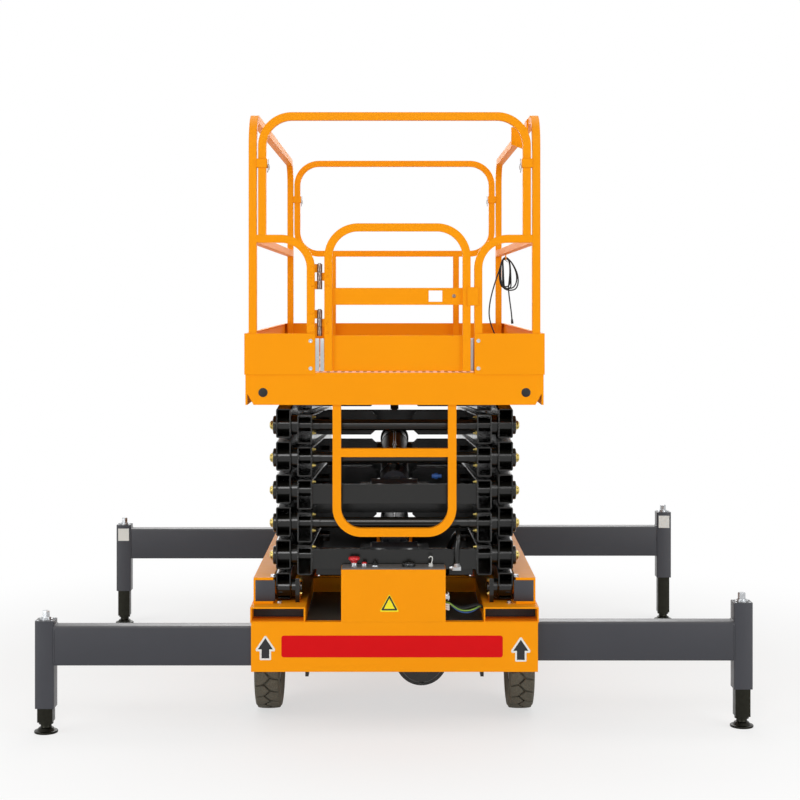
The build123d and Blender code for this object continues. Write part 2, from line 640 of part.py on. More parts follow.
def make_steer_axle():
    z = TYRE_RADIUS
    beam = block((-KINGPIN_X, KINGPIN_X), (STEER_AXLE_Y - 35, STEER_AXLE_Y + 35), (z - 40, z + 40))
    for side in (-1, 1):
        x = side * KINGPIN_X
        beam -= block((x - 30, x + 60) if side > 0 else (x - 60, x + 30), (STEER_AXLE_Y - 60, STEER_AXLE_Y + 60), (z - 80, z + 80))
        beam += bar((x, STEER_AXLE_Y, z - 45), (x, STEER_AXLE_Y, z + 45), 28)
        beam += block(on_side(side, (KINGPIN_X - 40, KINGPIN_X)), (STEER_AXLE_Y - 26, STEER_AXLE_Y + 26), (z - 40, z + 40))
        beam -= bar((x, STEER_AXLE_Y, z - 90), (x, STEER_AXLE_Y, z + 90), KINGPIN_RADIUS + FIT)
    write("steer_axle", beam + hangers(STEER_AXLE_Y, z - 40))
    for name, side in (("left", -1), ("right", 1)):
        x = side * KINGPIN_X
        web = block(on_side(side, (KINGPIN_X + 34, KINGPIN_X + 48)), (STEER_AXLE_Y - 30, STEER_AXLE_Y + 30), (z - 62, z + 62))
        knuckle = web
        for low, high in ((z - 62, z - 46), (z + 46, z + 62)):
            ear = block(on_side(side, (KINGPIN_X, KINGPIN_X + 40)), (STEER_AXLE_Y - 28, STEER_AXLE_Y + 28), (low, high))
            knuckle += ear + bar((x, STEER_AXLE_Y, low), (x, STEER_AXLE_Y, high), 28)
        knuckle += bar((x, STEER_AXLE_Y, z - 62), (x, STEER_AXLE_Y, z + 62), KINGPIN_RADIUS)
        knuckle += cross_bar(on_side(side, (KINGPIN_X + 40, WHEEL_X + 30)), STEER_AXLE_Y, z, AXLE_RADIUS)
        arm = block((x - 12, x + 12), (STEER_AXLE_Y - STEER_ARM, STEER_AXLE_Y), (z - 62, z - 48))
        arm += bar((x, STEER_AXLE_Y - STEER_ARM, z - 62), (x, STEER_AXLE_Y - STEER_ARM, z - 48), 16)
        arm += bar((x, STEER_AXLE_Y - STEER_ARM, z - 88), (x, STEER_AXLE_Y - STEER_ARM, z - 50), 8)
        write(f"steer_knuckle_{name}", knuckle + arm)
    y = STEER_AXLE_Y - STEER_ARM
    rod = cross_bar((-KINGPIN_X, KINGPIN_X), y, z - 75, 9)
    for x in (-KINGPIN_X, KINGPIN_X):
        rod += bar((x, y, z - 86), (x, y, z - 63), 17)
        rod -= bar((x, y, z - 90), (x, y, z - 60), 8 + FIT)
    write("tie_rod", rod)


def make_drawbar():
    """The towing bar, folded upright against the far bumper, with its tow eye at the top."""
    y = OUTRIGGERS[3][3] + BEAM_DEPTH / 2 + BEAM_SIDE_GAP + HOUSING_WALL + HITCH_REACH
    half, plate = DRAWBAR_SIDE / 2, TOW_EYE_PLATE / 2
    eye_z = HITCH_Z + DRAWBAR_LENGTH
    bar_end = eye_z - TOW_EYE_BELOW
    pole = box_tube((-half, half), (y - half, y + half), (HITCH_Z + 20, bar_end), DRAWBAR_WALL, "z")
    pole += block((-half, half), (y - half, y + half), (bar_end, bar_end + 5))
    eye = block((-TOW_EYE_HALF, TOW_EYE_HALF), (y - plate, y + plate), (bar_end, eye_z))
    eye += bar((0, y - plate, eye_z), (0, y + plate, eye_z), TOW_EYE_ABOVE)
    eye -= bar((0, y - 20, eye_z), (0, y + 20, eye_z), TOW_EYE_RADIUS)
    foot = cross_bar((-HITCH_HALF, HITCH_HALF), y, HITCH_Z, 2 * HITCH_PIN_RADIUS)
    foot += block((-half, half), (y - half, y + half), (HITCH_Z, HITCH_Z + 25))
    bore = cross_bar((-HITCH_HALF - 1, HITCH_HALF + 1), y, HITCH_Z, HITCH_PIN_RADIUS + FIT)
    write("drawbar", pole + eye + foot - bore)


# ---- platform ----

def make_deck():
    """The deck with its skirt, joists, arm brackets and upper roller channels, one weldment."""
    x = (-SKIRT_HALF, SKIRT_HALF)
    end = END_Y - TOE_PLATE
    deck = block(x, (-end, end), (DECK_Z - DECK_PLATE, DECK_Z))
    for side in (-1, 1):
        deck += block(on_side(side, (SKIRT_HALF - SKIRT_PLATE, SKIRT_HALF)), (-end, end), (SKIRT_BOTTOM, DECK_Z))
    for y in (-end, end - SKIRT_PLATE):
        face = make_face(Polyline(
            (-SKIRT_HALF, y, DECK_Z), (SKIRT_HALF, y, DECK_Z), (SKIRT_HALF, y, SKIRT_BOTTOM + SKIRT_CORNER),
            (SKIRT_FOOT_HALF, y, SKIRT_BOTTOM), (-SKIRT_FOOT_HALF, y, SKIRT_BOTTOM),
            (-SKIRT_HALF, y, SKIRT_BOTTOM + SKIRT_CORNER), close=True))
        plate = extrude(face, amount=SKIRT_PLATE, dir=(0, 1, 0))
        for side in (-1, 1):
            plate -= bar((side * PLUG_X, y - 1, PLUG_Z), (side * PLUG_X, y + SKIRT_PLATE + 1, PLUG_Z), PLUG_RADIUS)
        deck += plate
    top = TOP_PIN_Z + CHANNEL_HALF
    for y in JOIST_Y:
        half = JOIST_WIDTH / 2
        deck += block((-SKIRT_HALF + 2, SKIRT_HALF - 2), (y - half, y + half), (top, DECK_Z - 1))
    for side in (-1, 1):
        for ear in ((INNER_ARM[0] - 15, INNER_ARM[0] - 5), (INNER_ARM[1] + 5, INNER_ARM[1] + 15)):
            deck += block(on_side(side, ear), (NEAR_PIN_Y - 50, NEAR_PIN_Y + 50), (TOP_PIN_Z - 45, DECK_Z - 1))
        deck += cross_bar(on_side(side, (INNER_ARM[0] - 25, INNER_ARM[1] + 25)), NEAR_PIN_Y, TOP_PIN_Z, PIN_RADIUS)
        z = (TOP_PIN_Z - CHANNEL_HALF, top)
        channel = block(on_side(side, CHANNEL_X), (-160, 1010), z)
        hollow = on_side(side, (CHANNEL_X[0] - 1, CHANNEL_X[1] - CHANNEL_WEB))
        channel -= block(hollow, (-161, 1011), (z[0] + CHANNEL_FLANGE, z[1] - CHANNEL_FLANGE))
        deck += channel
    deck += bar((*GLAND, DECK_Z - 1), (*GLAND, DECK_Z + GLAND_HEIGHT), GLAND_RADIUS)
    write("platform_deck", deck)


def make_toe_boards():
    pieces = []
    outer = END_Y - TOE_PLATE
    z = (DECK_Z - TOE_LAP, TOE_TOP)
    for side in (-1, 1):
        board = block(on_side(side, (SKIRT_HALF, TOE_OUT)), (-outer, outer), z)
        board += block(on_side(side, (TOE_OUT - TOE_FLANGE, TOE_OUT)), (-outer, outer), (TOE_TOP - TOE_PLATE, TOE_TOP))
        pieces.append(board)
    near = (-END_Y, -outer)
    pieces.append(block((-TOE_OUT, -WING_POST_X + 19), near, z))
    pieces.append(block((WING_POST_X - 14, TOE_OUT), near, z))
    pieces.append(block((-TOE_OUT, TOE_OUT), (outer, END_Y), z))
    write("toe_boards", *pieces)


def make_side_rails():
    """Each side: an arch of tube from end to end, and a mid rail."""
    pieces = []
    half = RAIL_TUBE / 2
    for side in (-1, 1):
        x = side * SIDE_RAIL_X
        arch = bent_tube([(x, -RAIL_END_Y, DECK_Z), (x, -RAIL_END_Y, TOP_RAIL_Z),
                          (x, RAIL_END_Y, TOP_RAIL_Z), (x, RAIL_END_Y, DECK_Z)], BEND, (1, 0, 0))
        arch += block((x - half, x + half), (-RAIL_END_Y, RAIL_END_Y), (MID_RAIL_Z - half, MID_RAIL_Z + half))
        for end, drop in ((-1, NEAR_SLEEVE_DROP), (1, FAR_SLEEVE_DROP)):
            y = end * RAIL_END_Y
            z = TOP_RAIL_Z - drop
            wide, tall = SLEEVE_SIDE / 2, SLEEVE_HEIGHT / 2
            sleeve = block(on_side(side, (HOOP_X - wide, SIDE_RAIL_X - half)), (y - wide, y + wide), (z - tall, z + tall))
            sleeve -= block(on_side(side, (HOOP_X - half - FIT, HOOP_X + half + FIT)),
                            (y - half - FIT, y + half + FIT), (z - tall - 1, z + tall + 1))
            arch += sleeve
        if side > 0:
            arch += cable_hook()
        pieces.append(arch)
    write("side_rails", *pieces)


def cable_hook():
    """A bent wire under the mid rail that the cable's hank hangs on."""
    x, low, high = SIDE_RAIL_X + HOOK_SHIFT, MID_RAIL_Z - HOOK_DROP, MID_RAIL_Z - RAIL_TUBE / 2 + 2
    ends = (CABLE_Y - HOOK_HALF, CABLE_Y + HOOK_HALF)
    hook = bar((x, ends[0], low), (x, ends[0], high), HOOK_RADIUS)
    hook += bar((x, ends[0], low), (x, ends[1], low), HOOK_RADIUS)
    hook += bar((x, ends[1], low), (x, ends[1], low + HOOK_TIP), HOOK_RADIUS)
    for y in ends:
        hook += Pos(x, y, low) * Sphere(HOOK_RADIUS)
    return hook


def make_end_rails():
    half = RAIL_TUBE / 2
    seat = MID_RAIL_Z + half
    y = -RAIL_END_Y
    write("near_hoop", bent_tube([(-HOOP_X, y, seat), (-HOOP_X, y, TOP_RAIL_Z), (HOOP_X, y, TOP_RAIL_Z),
                                  (HOOP_X, y, seat)], BEND, (0, 1, 0)))
    pieces = []
    for side in (-1, 1):
        start = SIDE_RAIL_X - half
        wing = bent_tube([(side * start, y, MID_RAIL_Z), (side * WING_POST_X, y, MID_RAIL_Z),
                          (side * WING_POST_X, y, DECK_Z)], BEND, (0, 1, 0))
        if side < 0:
            wing += hinge_leaves(post=True)
        else:
            face = y - half - SIDE_FIT
            wing += block((GATE_X[1] + 2, WING_POST_X), (face - TOE_PLATE, face), LATCH_Z)
            wing += block((WING_POST_X - half, WING_POST_X), (face - TOE_PLATE, y), LATCH_Z)
        pieces.append(wing)
    write("near_wings", *pieces)
    y = RAIL_END_Y
    hoop = bent_tube([(-HOOP_X, y, MID_RAIL_Z), (-HOOP_X, y, TOP_RAIL_Z), (HOOP_X, y, TOP_RAIL_Z),
                      (HOOP_X, y, MID_RAIL_Z)], BEND, (0, 1, 0), closed=True)
    for side in (-1, 1):
        x = side * WING_POST_X
        hoop += block((x - half, x + half), (y - half, y + half), (DECK_Z, MID_RAIL_Z))
    write("far_rails", hoop)


def hinge_leaves(post):
    """The knuckles of both gate hinges: the ends on the post with the pin, the middle on the gate."""
    half = RAIL_TUBE / 2
    x = (-WING_POST_X + half + GATE_X[0] - half) / 2
    y = -RAIL_END_Y
    pieces = None
    for low, high in HINGES_Z:
        third = (high - low) / 3
        spans = ((low, low + third), (high - third, high)) if post else ((low + third + SIDE_FIT, high - third - SIDE_FIT),)
        for span in spans:
            knuckle = bar((x, y, span[0]), (x, y, span[1]), HINGE_RADIUS)
            reach = (-WING_POST_X + half, x) if post else (x, GATE_X[0] - half)
            knuckle += block(reach, (y - 3, y + 3), span)
            if not post:
                knuckle -= bar((x, y, span[0] - 1), (x, y, span[1] + 1), HINGE_PIN_RADIUS + FIT)
            pieces = knuckle if pieces is None else pieces + knuckle
        if post:
            pieces += bar((x, y, low), (x, y, high), HINGE_PIN_RADIUS)
    return pieces


def make_gate():
    half = RAIL_TUBE / 2
    y = -RAIL_END_Y
    gate = bent_tube([(GATE_X[0], y, GATE_FOOT_Z), (GATE_X[0], y, GATE_TOP_Z), (GATE_X[1], y, GATE_TOP_Z),
                      (GATE_X[1], y, GATE_FOOT_Z)], BEND, (0, 1, 0))
    inside = (GATE_X[0] + half, GATE_X[1] - half)
    plate = block(inside, (y - GATE_PLATE / 2, y + GATE_PLATE / 2), GATE_MID_Z)
    plate -= block(GATE_HOLE_X, (y - 9, y + 9), GATE_HOLE_Z)
    gate += plate
    gate += block(inside, (y - GATE_PLATE / 2, y + GATE_PLATE / 2), (GATE_FOOT_Z, GATE_TOE_TOP))
    gate += hinge_leaves(post=False)
    write("gate", gate)


def make_ladder():
    y = -END_Y + TOE_PLATE + SKIRT_PLATE + LADDER_TUBE / 2
    path = FilletPolyline((-LADDER_X, y, DECK_Z - DECK_PLATE), (-LADDER_X, y, LADDER_FOOT_Z),
                          (LADDER_X, y, LADDER_FOOT_Z), (LADDER_X, y, DECK_Z - DECK_PLATE), radius=LADDER_BEND)
    start = Plane(origin=path @ 0, x_dir=(0, 1, 0), z_dir=path % 0)
    ladder = sweep(start * Rectangle(LADDER_TUBE, LADDER_TUBE), path=path)
    half = LADDER_TUBE / 2
    ladder += block((-LADDER_X, LADDER_X), (y - half, y + half), (LADDER_RUNG_Z - half, LADDER_RUNG_Z + half))
    write("ladder", ladder)


def make_control_holder():
    """A plate that stands inward from the right arch, its lower edge slanting, for the hand controller."""
    x = SIDE_RAIL_X - RAIL_TUBE / 2
    low, high = TOP_RAIL_Z - HOLDER_DROP, TOP_RAIL_Z - HOLDER_DROP + HOLDER_HEIGHT
    face = make_face(Polyline((x, HOLDER_Y, high), (x - HOLDER_REACH, HOLDER_Y, high),
                              (x - HOLDER_REACH, HOLDER_Y, low + HOLDER_SLANT), (x, HOLDER_Y, low), close=True))
    holder = extrude(face, amount=HOLDER_PLATE, dir=(0, 1, 0))
    holder += block((x - HOLDER_PLATE, x), (HOLDER_Y, HOLDER_Y + HOLDER_FLANGE), (low + HOLDER_SLANT, TOP_RAIL_Z + 10))
    write("control_holder", holder)


# ---- the loose cable ----
CABLE_RADIUS = 3.5
TURNS = (  # the hank's bundles: name, radius of bundle, bend, y
    ("wide", 5.5, 18.0, 712.0), ("close", 7.0, 16.0, 727.0),
)
CONNECTOR_LENGTH = 27.0
CONNECTOR_RADIUS = 6.5
CABLE_Y = 720.0
HOOK_RADIUS = 3.0
HOOK_SHIFT = 6.0
HOOK_DROP = 41.0
HOOK_HALF = 22.0
HOOK_TIP = 16.0
GLAND = (SIDE_RAIL_X - 37, 706.0)
GLAND_HEIGHT = 24.0
GLAND_RADIUS = 11.0

# up from the gland in the deck: x from the side rail, y, height over the deck
LEAD_FOOT = ((-37.0, 706.0, GLAND_HEIGHT), (-37.0, 706.0, 60.0))
# on to the hank: x from the side rail, y, height over the mid rail
LEAD = (
    (-51.0, 708.0, -430.0), (-71.0, 710.0, -382.0), (-81.0, 712.0, -332.0), (-78.0, 714.0, -280.0),
    (-67.0, 715.0, -224.0), (-52.0, 716.0, -172.0), (-35.0, 715.0, -121.0), (-20.0, 712.5, -76.0),
)
# the wide and the close turns of the hank, which hang on one hook, as x and height in the same way
WIDE_ROUND = (
    (0.0, -29.0), (-19.0, -75.0), (-19.0, -160.0), (-4.0, -206.0), (28.0, -213.0), (62.0, -204.0),
    (69.0, -158.0), (50.0, -88.0),
)
CLOSE_ROUND = (
    (0.0, -29.0), (-16.0, -75.0), (-16.0, -168.0), (-8.0, -222.0), (13.0, -222.0), (22.0, -168.0), (22.0, -80.0),
)
ROUNDS = {"wide": WIDE_ROUND, "close": CLOSE_ROUND}
# down from the hank to the connector
TAIL = (
    (20.0, 727.0, -188.0), (24.5, 722.0, -230.0), (30.0, 718.5, -273.0), (35.5, 716.0, -313.0),
    (39.0, 715.0, -352.0),
)


def hung(turns, bend, radius, y):
    """The middle line of some hanked turns, moved so that their highest arc lies over the hook."""
    path = FilletPolyline(*[(x, 0, z) for x, z in turns], radius=bend, close=True)
    top = max(path.edges().filter_by(GeomType.CIRCLE), key=lambda edge: edge.arc_center.Z).arc_center
    rise = MID_RAIL_Z - HOOK_DROP + HOOK_RADIUS + FIT + radius - bend
    return Pos(SIDE_RAIL_X + HOOK_SHIFT - top.X, y, rise - top.Z) * path


def on_rail(points):
    """The route's points, from the side rail and the mid rail."""
    return [(SIDE_RAIL_X + x, y, MID_RAIL_Z + z) for x, y, z in points]


def cable_tube(name, points):
    """A tube through the points, each turn rounded as far as its shorter run allows."""
    places = [Vector(*p) for p in points]
    runs = [b - a for a, b in zip(places, places[1:])]
    radii = []
    for one, two in zip(runs, runs[1:]):
        turn = radians(one.get_angle(two))
        radii.append(0.45 * min(one.length, two.length) / tan(turn / 2))
    path = FilletPolyline(*points, radius=radii)
    tube = sweep(Plane(origin=path @ 0, z_dir=path % 0) * Circle(CABLE_RADIUS), path=path)
    expected = pi * CABLE_RADIUS**2 * path.length
    print(name, "length", round(path.length, 1), "radii", [round(r) for r in radii],
          "volume ratio", round(tube.volume / expected, 4))
    write(name, tube)


def make_cable():
    """A control cable: up from its gland, hanked on the mid rail, its connector hanging free."""
    cable_tube("cable_lead", [(SIDE_RAIL_X + x, y, DECK_Z + z) for x, y, z in LEAD_FOOT] + on_rail(LEAD))
    tail = on_rail(TAIL)
    cable_tube("cable_tail", tail)
    bundles = []
    for name, radius, bend, y in TURNS:
        ring = hung(ROUNDS[name], bend, radius, y)
        bundles.append(sweep(Plane(origin=ring @ 0, z_dir=ring % 0) * Circle(radius), path=ring))
        print(name, "turns", ring.bounding_box().min, ring.bounding_box().max, "once round", round(ring.length, 1))
    write("cable_hank", *bundles)
    end, before = Vector(*tail[-1]), Vector(*tail[-2])
    write("cable_connector", bar(end, end + (end - before).normalized() * CONNECTOR_LENGTH, CONNECTOR_RADIUS))


def main():
    os.makedirs("parts", exist_ok=True)
    make_arms()
    make_cylinder("lower", 1, 3)
    make_cylinder("upper", 3, 5)
    make_chassis_rails()
    make_bumpers()
    make_channels()
    make_chassis_boxes()
    make_control_box()
    for name, _, side, y, beam_z, leg_x, raised in OUTRIGGERS:
        make_outrigger(name, side, y, beam_z, leg_x, raised)
    for name, side, y in (("near_left", -1, DRIVE_AXLE_Y), ("near_right", 1, DRIVE_AXLE_Y),
                          ("far_left", -1, STEER_AXLE_Y), ("far_right", 1, STEER_AXLE_Y)):
        make_wheel(name, side, y)
    make_drive_axle()
    make_steer_axle()
    make_drawbar()
    make_deck()
    make_toe_boards()
    make_side_rails()
    make_end_rails()
    make_gate()
    make_ladder()
    make_control_holder()
    make_cable()


main()
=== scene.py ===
# %% [markdown]
# # A towable scissor lift
# Six stages of crossed arms carry a railed platform over a small four-wheeled chassis, which stands on four
# outriggers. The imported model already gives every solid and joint. This lesson adds the camera, the loose cable,
# the finishes and the small fittings. Lengths are thought of in millimetres, as on a workshop drawing, and are
# turned to metres where a mesh is made.

# %% load the frame
from math import asin, cos, pi, radians, sin, tau

import bmesh
import bpy
from mathutils import Matrix, Vector


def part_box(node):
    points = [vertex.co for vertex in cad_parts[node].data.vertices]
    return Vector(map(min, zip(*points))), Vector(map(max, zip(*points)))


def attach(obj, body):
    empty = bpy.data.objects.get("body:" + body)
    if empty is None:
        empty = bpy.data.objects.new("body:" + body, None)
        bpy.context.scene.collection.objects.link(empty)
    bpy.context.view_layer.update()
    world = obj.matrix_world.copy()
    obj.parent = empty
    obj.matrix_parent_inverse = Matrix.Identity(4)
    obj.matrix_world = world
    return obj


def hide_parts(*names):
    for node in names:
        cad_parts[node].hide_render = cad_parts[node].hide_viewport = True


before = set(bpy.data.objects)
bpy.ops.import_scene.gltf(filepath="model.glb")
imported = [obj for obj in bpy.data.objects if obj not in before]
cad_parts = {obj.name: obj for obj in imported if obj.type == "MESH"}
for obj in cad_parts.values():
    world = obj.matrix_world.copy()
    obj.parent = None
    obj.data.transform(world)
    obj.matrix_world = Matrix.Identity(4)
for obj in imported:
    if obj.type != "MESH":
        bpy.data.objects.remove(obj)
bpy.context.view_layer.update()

# %% [markdown]
# ## Camera
# The lift is seen from its gate end, level, from about 6.6 m away. A long lens keeps the rails nearly parallel.
# The lens is shifted down instead of tilted, so upright posts stay upright.

# %% camera
MM = 0.001
IMAGE_WIDTH = 800                 # pixels
FOCAL_LENGTH = 1650               # pixels
EYE = Vector((0, -7870, 1773)) * MM
VANISHING_POINT = (394.5, 295)    # pixels from the top left
camera_data = bpy.data.cameras.new("camera")
camera_data.sensor_width = 36
camera_data.lens = 36 * FOCAL_LENGTH / IMAGE_WIDTH
camera_data.shift_x = 0.5 - VANISHING_POINT[0] / IMAGE_WIDTH
camera_data.shift_y = VANISHING_POINT[1] / IMAGE_WIDTH - 0.5
camera = bpy.data.objects.new("camera", camera_data)
camera.location = EYE
camera.rotation_euler = (pi / 2, 0, 0)
bpy.context.scene.collection.objects.link(camera)
bpy.context.scene.camera = camera
print("lens", round(camera_data.lens, 2), "mm, shift", round(camera_data.shift_x, 4), round(camera_data.shift_y, 4))

# %% [markdown]
# ## Loose cable
# The hand controller's cable comes up from a gland in the deck, is hanked over a wire hook under the mid rail, and
# its connector hangs free. A cable is one length with one smooth line, so it is one NURBS spline whose control
# points are its route. A string of straight pieces would show its corners. The hank's turns are uneven: two swing
# wide to the right and two stay close, side by side on the hook.

# %% cable route
CABLE_LEAD = (  # up from the gland, millimetres
    (535, 706, 1484), (535, 706, 1520), (521, 708, 1570), (501, 710, 1618), (491, 712, 1668), (494, 714, 1720),
    (505, 715, 1776), (520, 716, 1828), (537, 715, 1879), (552, 712.5, 1924), (557.5, 711.5, 1943),
    (563.5, 711, 1957.5), (572, 710, 1967),
)
WIDE_TURN = (  # once round as (x, z): from the top of the hook down the right side and up the left
    (583.8, 1967), (593, 1959.5), (607, 1945), (622, 1922), (637, 1890), (644, 1855), (641, 1822), (628, 1802),
    (606, 1797), (584, 1799), (566, 1809), (555, 1840), (551, 1878), (553, 1915), (557.5, 1942), (563.5, 1957.5),
    (572, 1967),
)
CLOSE_TURN = (
    (583.8, 1967), (592.5, 1959), (599, 1943), (602, 1920), (603, 1892), (603.5, 1862), (603.4, 1832),
    (603, 1814.8), (592.8, 1804.5), (578.3, 1804.5), (568, 1814.8), (567, 1832), (566, 1860), (565.5, 1892),
    (565, 1922), (563.8, 1943), (565.5, 1957.5), (573, 1967),
)
TURNS = (  # shape, place along the hook, shift along it at the foot, sideways shift at the foot, rise at the foot
    (WIDE_TURN, 708.5, -2, 0, 0), (WIDE_TURN, 715.5, 3, -10, 9), (CLOSE_TURN, 723.5, 2, 4, 1),
    (CLOSE_TURN, 730.5, -3, -4, 12),
)
CABLE_TAIL = (
    (583.8, 733, 1967), (592.5, 733, 1959), (598.5, 732.5, 1943), (601, 732, 1920), (601.5, 731, 1888),
    (598, 729, 1850), (593, 727, 1812),
    (596.5, 722, 1770), (602, 718.5, 1727), (607.5, 716, 1687), (611, 715, 1648),
)
TURN_TOP, TURN_FOOT = 1967, 1800
CABLE_RADIUS = 3.5                # millimetres


def turn_points(shape, along, spread, shift, rise):
    """One turn of the hank, loose towards its foot."""
    points = []
    for x, z in shape:
        low = min(1.0, (TURN_TOP - z) / (TURN_TOP - TURN_FOOT))
        points.append((x + shift * low, along + spread * low, z + rise * low))
    return points


route = list(CABLE_LEAD)
for turn in TURNS:
    route += turn_points(*turn)
route += CABLE_TAIL
print("cable control points", len(route))

# %% [markdown]
# ## Finish helpers
# Colours are written as the hex values a paint chart gives. They are sRGB, and the renderer works in linear light,
# so one function turns them. Another adds a node to a material with its settings and links, so that each finish
# reads as a short list.

# %% colour and node helpers
def linear(hex_colour):
    """A linear colour from an sRGB hex value."""
    parts = [int(hex_colour[i:i + 2], 16) / 255 for i in (1, 3, 5)]
    return [p / 12.92 if p <= 0.04045 else ((p + 0.055) / 1.055) ** 2.4 for p in parts] + [1.0]


def add_node(material, kind, inputs=None, **settings):
    """A node with its settings. An input is a value, or the output socket that feeds it."""
    node = material.node_tree.nodes.new(kind)
    for name, value in settings.items():
        setattr(node, name, value)
    for name, value in (inputs or {}).items():
        if isinstance(value, bpy.types.NodeSocket):
            material.node_tree.links.new(value, node.inputs[name])
        else:
            node.inputs[name].default_value = value
    return node


def start_finish(name):
    """An empty material and its places in metres on the object."""
    material = bpy.data.materials.new(name)
    material.use_nodes = True
    material.node_tree.nodes.clear()
    places = add_node(material, "ShaderNodeTexCoord").outputs["Object"]
    return material, places


def end_finish(material, **inputs):
    """The surface shader and the output. Names are the shader's own, with _ for a space."""
    shader = add_node(material, "ShaderNodeBsdfPrincipled", {k.replace("_", " "): v for k, v in inputs.items()})
    add_node(material, "ShaderNodeOutputMaterial", {"Surface": shader.outputs["BSDF"]})
    print("finish", material.name, "with", len(material.node_tree.nodes), "nodes")
    return material


# %% [markdown]
# ## Painted steel
# Rails, deck and chassis are mild steel with a baked powder coat: even, glossy, slightly rippled like orange peel,
# with a rounded film over each edge. The arms are sprayed black enamel, glossier and thinner. The film's ripple
# repeats about every 3 mm. A rounded edge catches a line of light, so the shader bends the normal near edges. Dust
# settles on surfaces that face up. Paint starts from IOR 1.5. Orange is brought down to 1.22, because the coat's
# fine texture scatters the mirror-like part of its shine and the colour stays deep at low angles.

# %% painted steel
SPRAY_PATCH, GRIT_PATCH = 0.35, 0.06      # metres: one pass of the gun, one drift of dust


def painted_steel(name, colour, shade, roughness, peel_mm, peel_height_mm, edge_mm, dust="#8A8272", dust_amount=0.12,
                  ior=1.5):
    """A paint film: two close shades in soft patches, ripple, round edges, and dust on what faces up."""
    material, places = start_finish(name)
    patches = add_node(material, "ShaderNodeTexNoise", {"Vector": places, "Scale": 1 / SPRAY_PATCH, "Detail": 3.0})
    film = add_node(material, "ShaderNodeMix", {"Factor": patches.outputs["Fac"], 6: linear(colour), 7: linear(shade)},
                    data_type="RGBA")
    facing = add_node(material, "ShaderNodeNewGeometry").outputs["Normal"]
    upward = add_node(material, "ShaderNodeSeparateXYZ", {"Vector": facing})
    grit = add_node(material, "ShaderNodeTexNoise", {"Vector": places, "Scale": 1 / GRIT_PATCH, "Detail": 5.0,
                                                     "Roughness": 0.65})
    settled = add_node(material, "ShaderNodeMath", {0: upward.outputs["Z"], 1: grit.outputs["Fac"]},
                       operation="MULTIPLY")
    amount = add_node(material, "ShaderNodeMath", {0: settled.outputs[0], 1: dust_amount}, operation="MULTIPLY",
                      use_clamp=True)
    colour_out = add_node(material, "ShaderNodeMix", {"Factor": amount.outputs[0], 6: film.outputs[2], 7: linear(dust)},
                          data_type="RGBA")
    dulled = add_node(material, "ShaderNodeMapRange", {"Value": grit.outputs["Fac"], "To Min": roughness - 0.05,
                                                       "To Max": roughness + 0.1})
    edges = add_node(material, "ShaderNodeBevel", {"Radius": edge_mm * MM}, samples=6)
    peel = add_node(material, "ShaderNodeTexNoise", {"Vector": places, "Scale": 1 / (peel_mm * MM), "Detail": 1.0})
    ripple = add_node(material, "ShaderNodeBump", {"Height": peel.outputs["Fac"], "Distance": peel_height_mm * MM,
                                                   "Strength": 0.35, "Normal": edges.outputs["Normal"]})
    return end_finish(material, Base_Color=colour_out.outputs[2], Roughness=dulled.outputs["Result"], IOR=ior,
                      Normal=ripple.outputs["Normal"])


orange_powder_coat = painted_steel("orange_powder_coat_steel", "#F29700", "#EE9100", 0.46, 3.0, 0.05, 2.5,
                                   dust_amount=0.04, ior=1.22)
deck_paint = painted_steel("trodden_orange_paint_chequer_plate", "#D98400", "#B06A10", 0.6, 3.0, 0.05, 1.0,
                           dust_amount=0.2, ior=1.22)
black_enamel = painted_steel("black_enamel_steel", "#0C0C0A", "#121210", 0.15, 4.0, 0.03, 2.5,
                             dust_amount=0.06, ior=1.46)
grey_enamel = painted_steel("blue_grey_enamel_steel", "#303138", "#2A2B31", 0.34, 2.5, 0.05, 2.5)
axle_enamel = painted_steel("chassis_black_enamel_casting", "#141414", "#1D1C18", 0.42, 6.0, 0.25, 3.0,
                            dust_amount=0.25)
lid_enamel = painted_steel("mid_grey_enamel_lid", "#6A6866", "#646260", 0.4, 2.5, 0.05, 1.5)
rim_enamel = painted_steel("silver_enamel_wheel_steel", "#B9BABC", "#A9ABAD", 0.38, 3.0, 0.05, 2.0)

# %% [markdown]
# ## Bare and plated metals
# Pin nuts and keepers are steel with yellow zinc plating, the clips and screw heads bright zinc. Cylinder rods
# are hard chrome, ground and polished. Jack tubes are oiled steel, nearly black. A metal's colour is in its
# reflection, so metallic is 1 and the roughness carries the surface: plating is finely mottled, a ground rod is
# smooth, oiled steel is streaked.

# %% plated metals
def plated_metal(name, colour, shade, roughness, spread, mottle_mm, metallic=1.0, edge_mm=0.8):
    """A metal whose colour and roughness vary in small mottles."""
    material, places = start_finish(name)
    mottle = add_node(material, "ShaderNodeTexNoise", {"Vector": places, "Scale": 1 / (mottle_mm * MM), "Detail": 4.0})
    tint = add_node(material, "ShaderNodeMix", {"Factor": mottle.outputs["Fac"], 6: linear(colour), 7: linear(shade)},
                    data_type="RGBA")
    rough = add_node(material, "ShaderNodeMapRange", {"Value": mottle.outputs["Fac"], "To Min": roughness - spread,
                                                      "To Max": roughness + spread})
    edges = add_node(material, "ShaderNodeBevel", {"Radius": edge_mm * MM}, samples=4)
    bump = add_node(material, "ShaderNodeBump", {"Height": mottle.outputs["Fac"], "Distance": 0.0001, "Strength": 0.2,
                                                 "Normal": edges.outputs["Normal"]})
    return end_finish(material, Base_Color=tint.outputs[2], Metallic=metallic, Roughness=rough.outputs["Result"],
                      Normal=bump.outputs["Normal"])


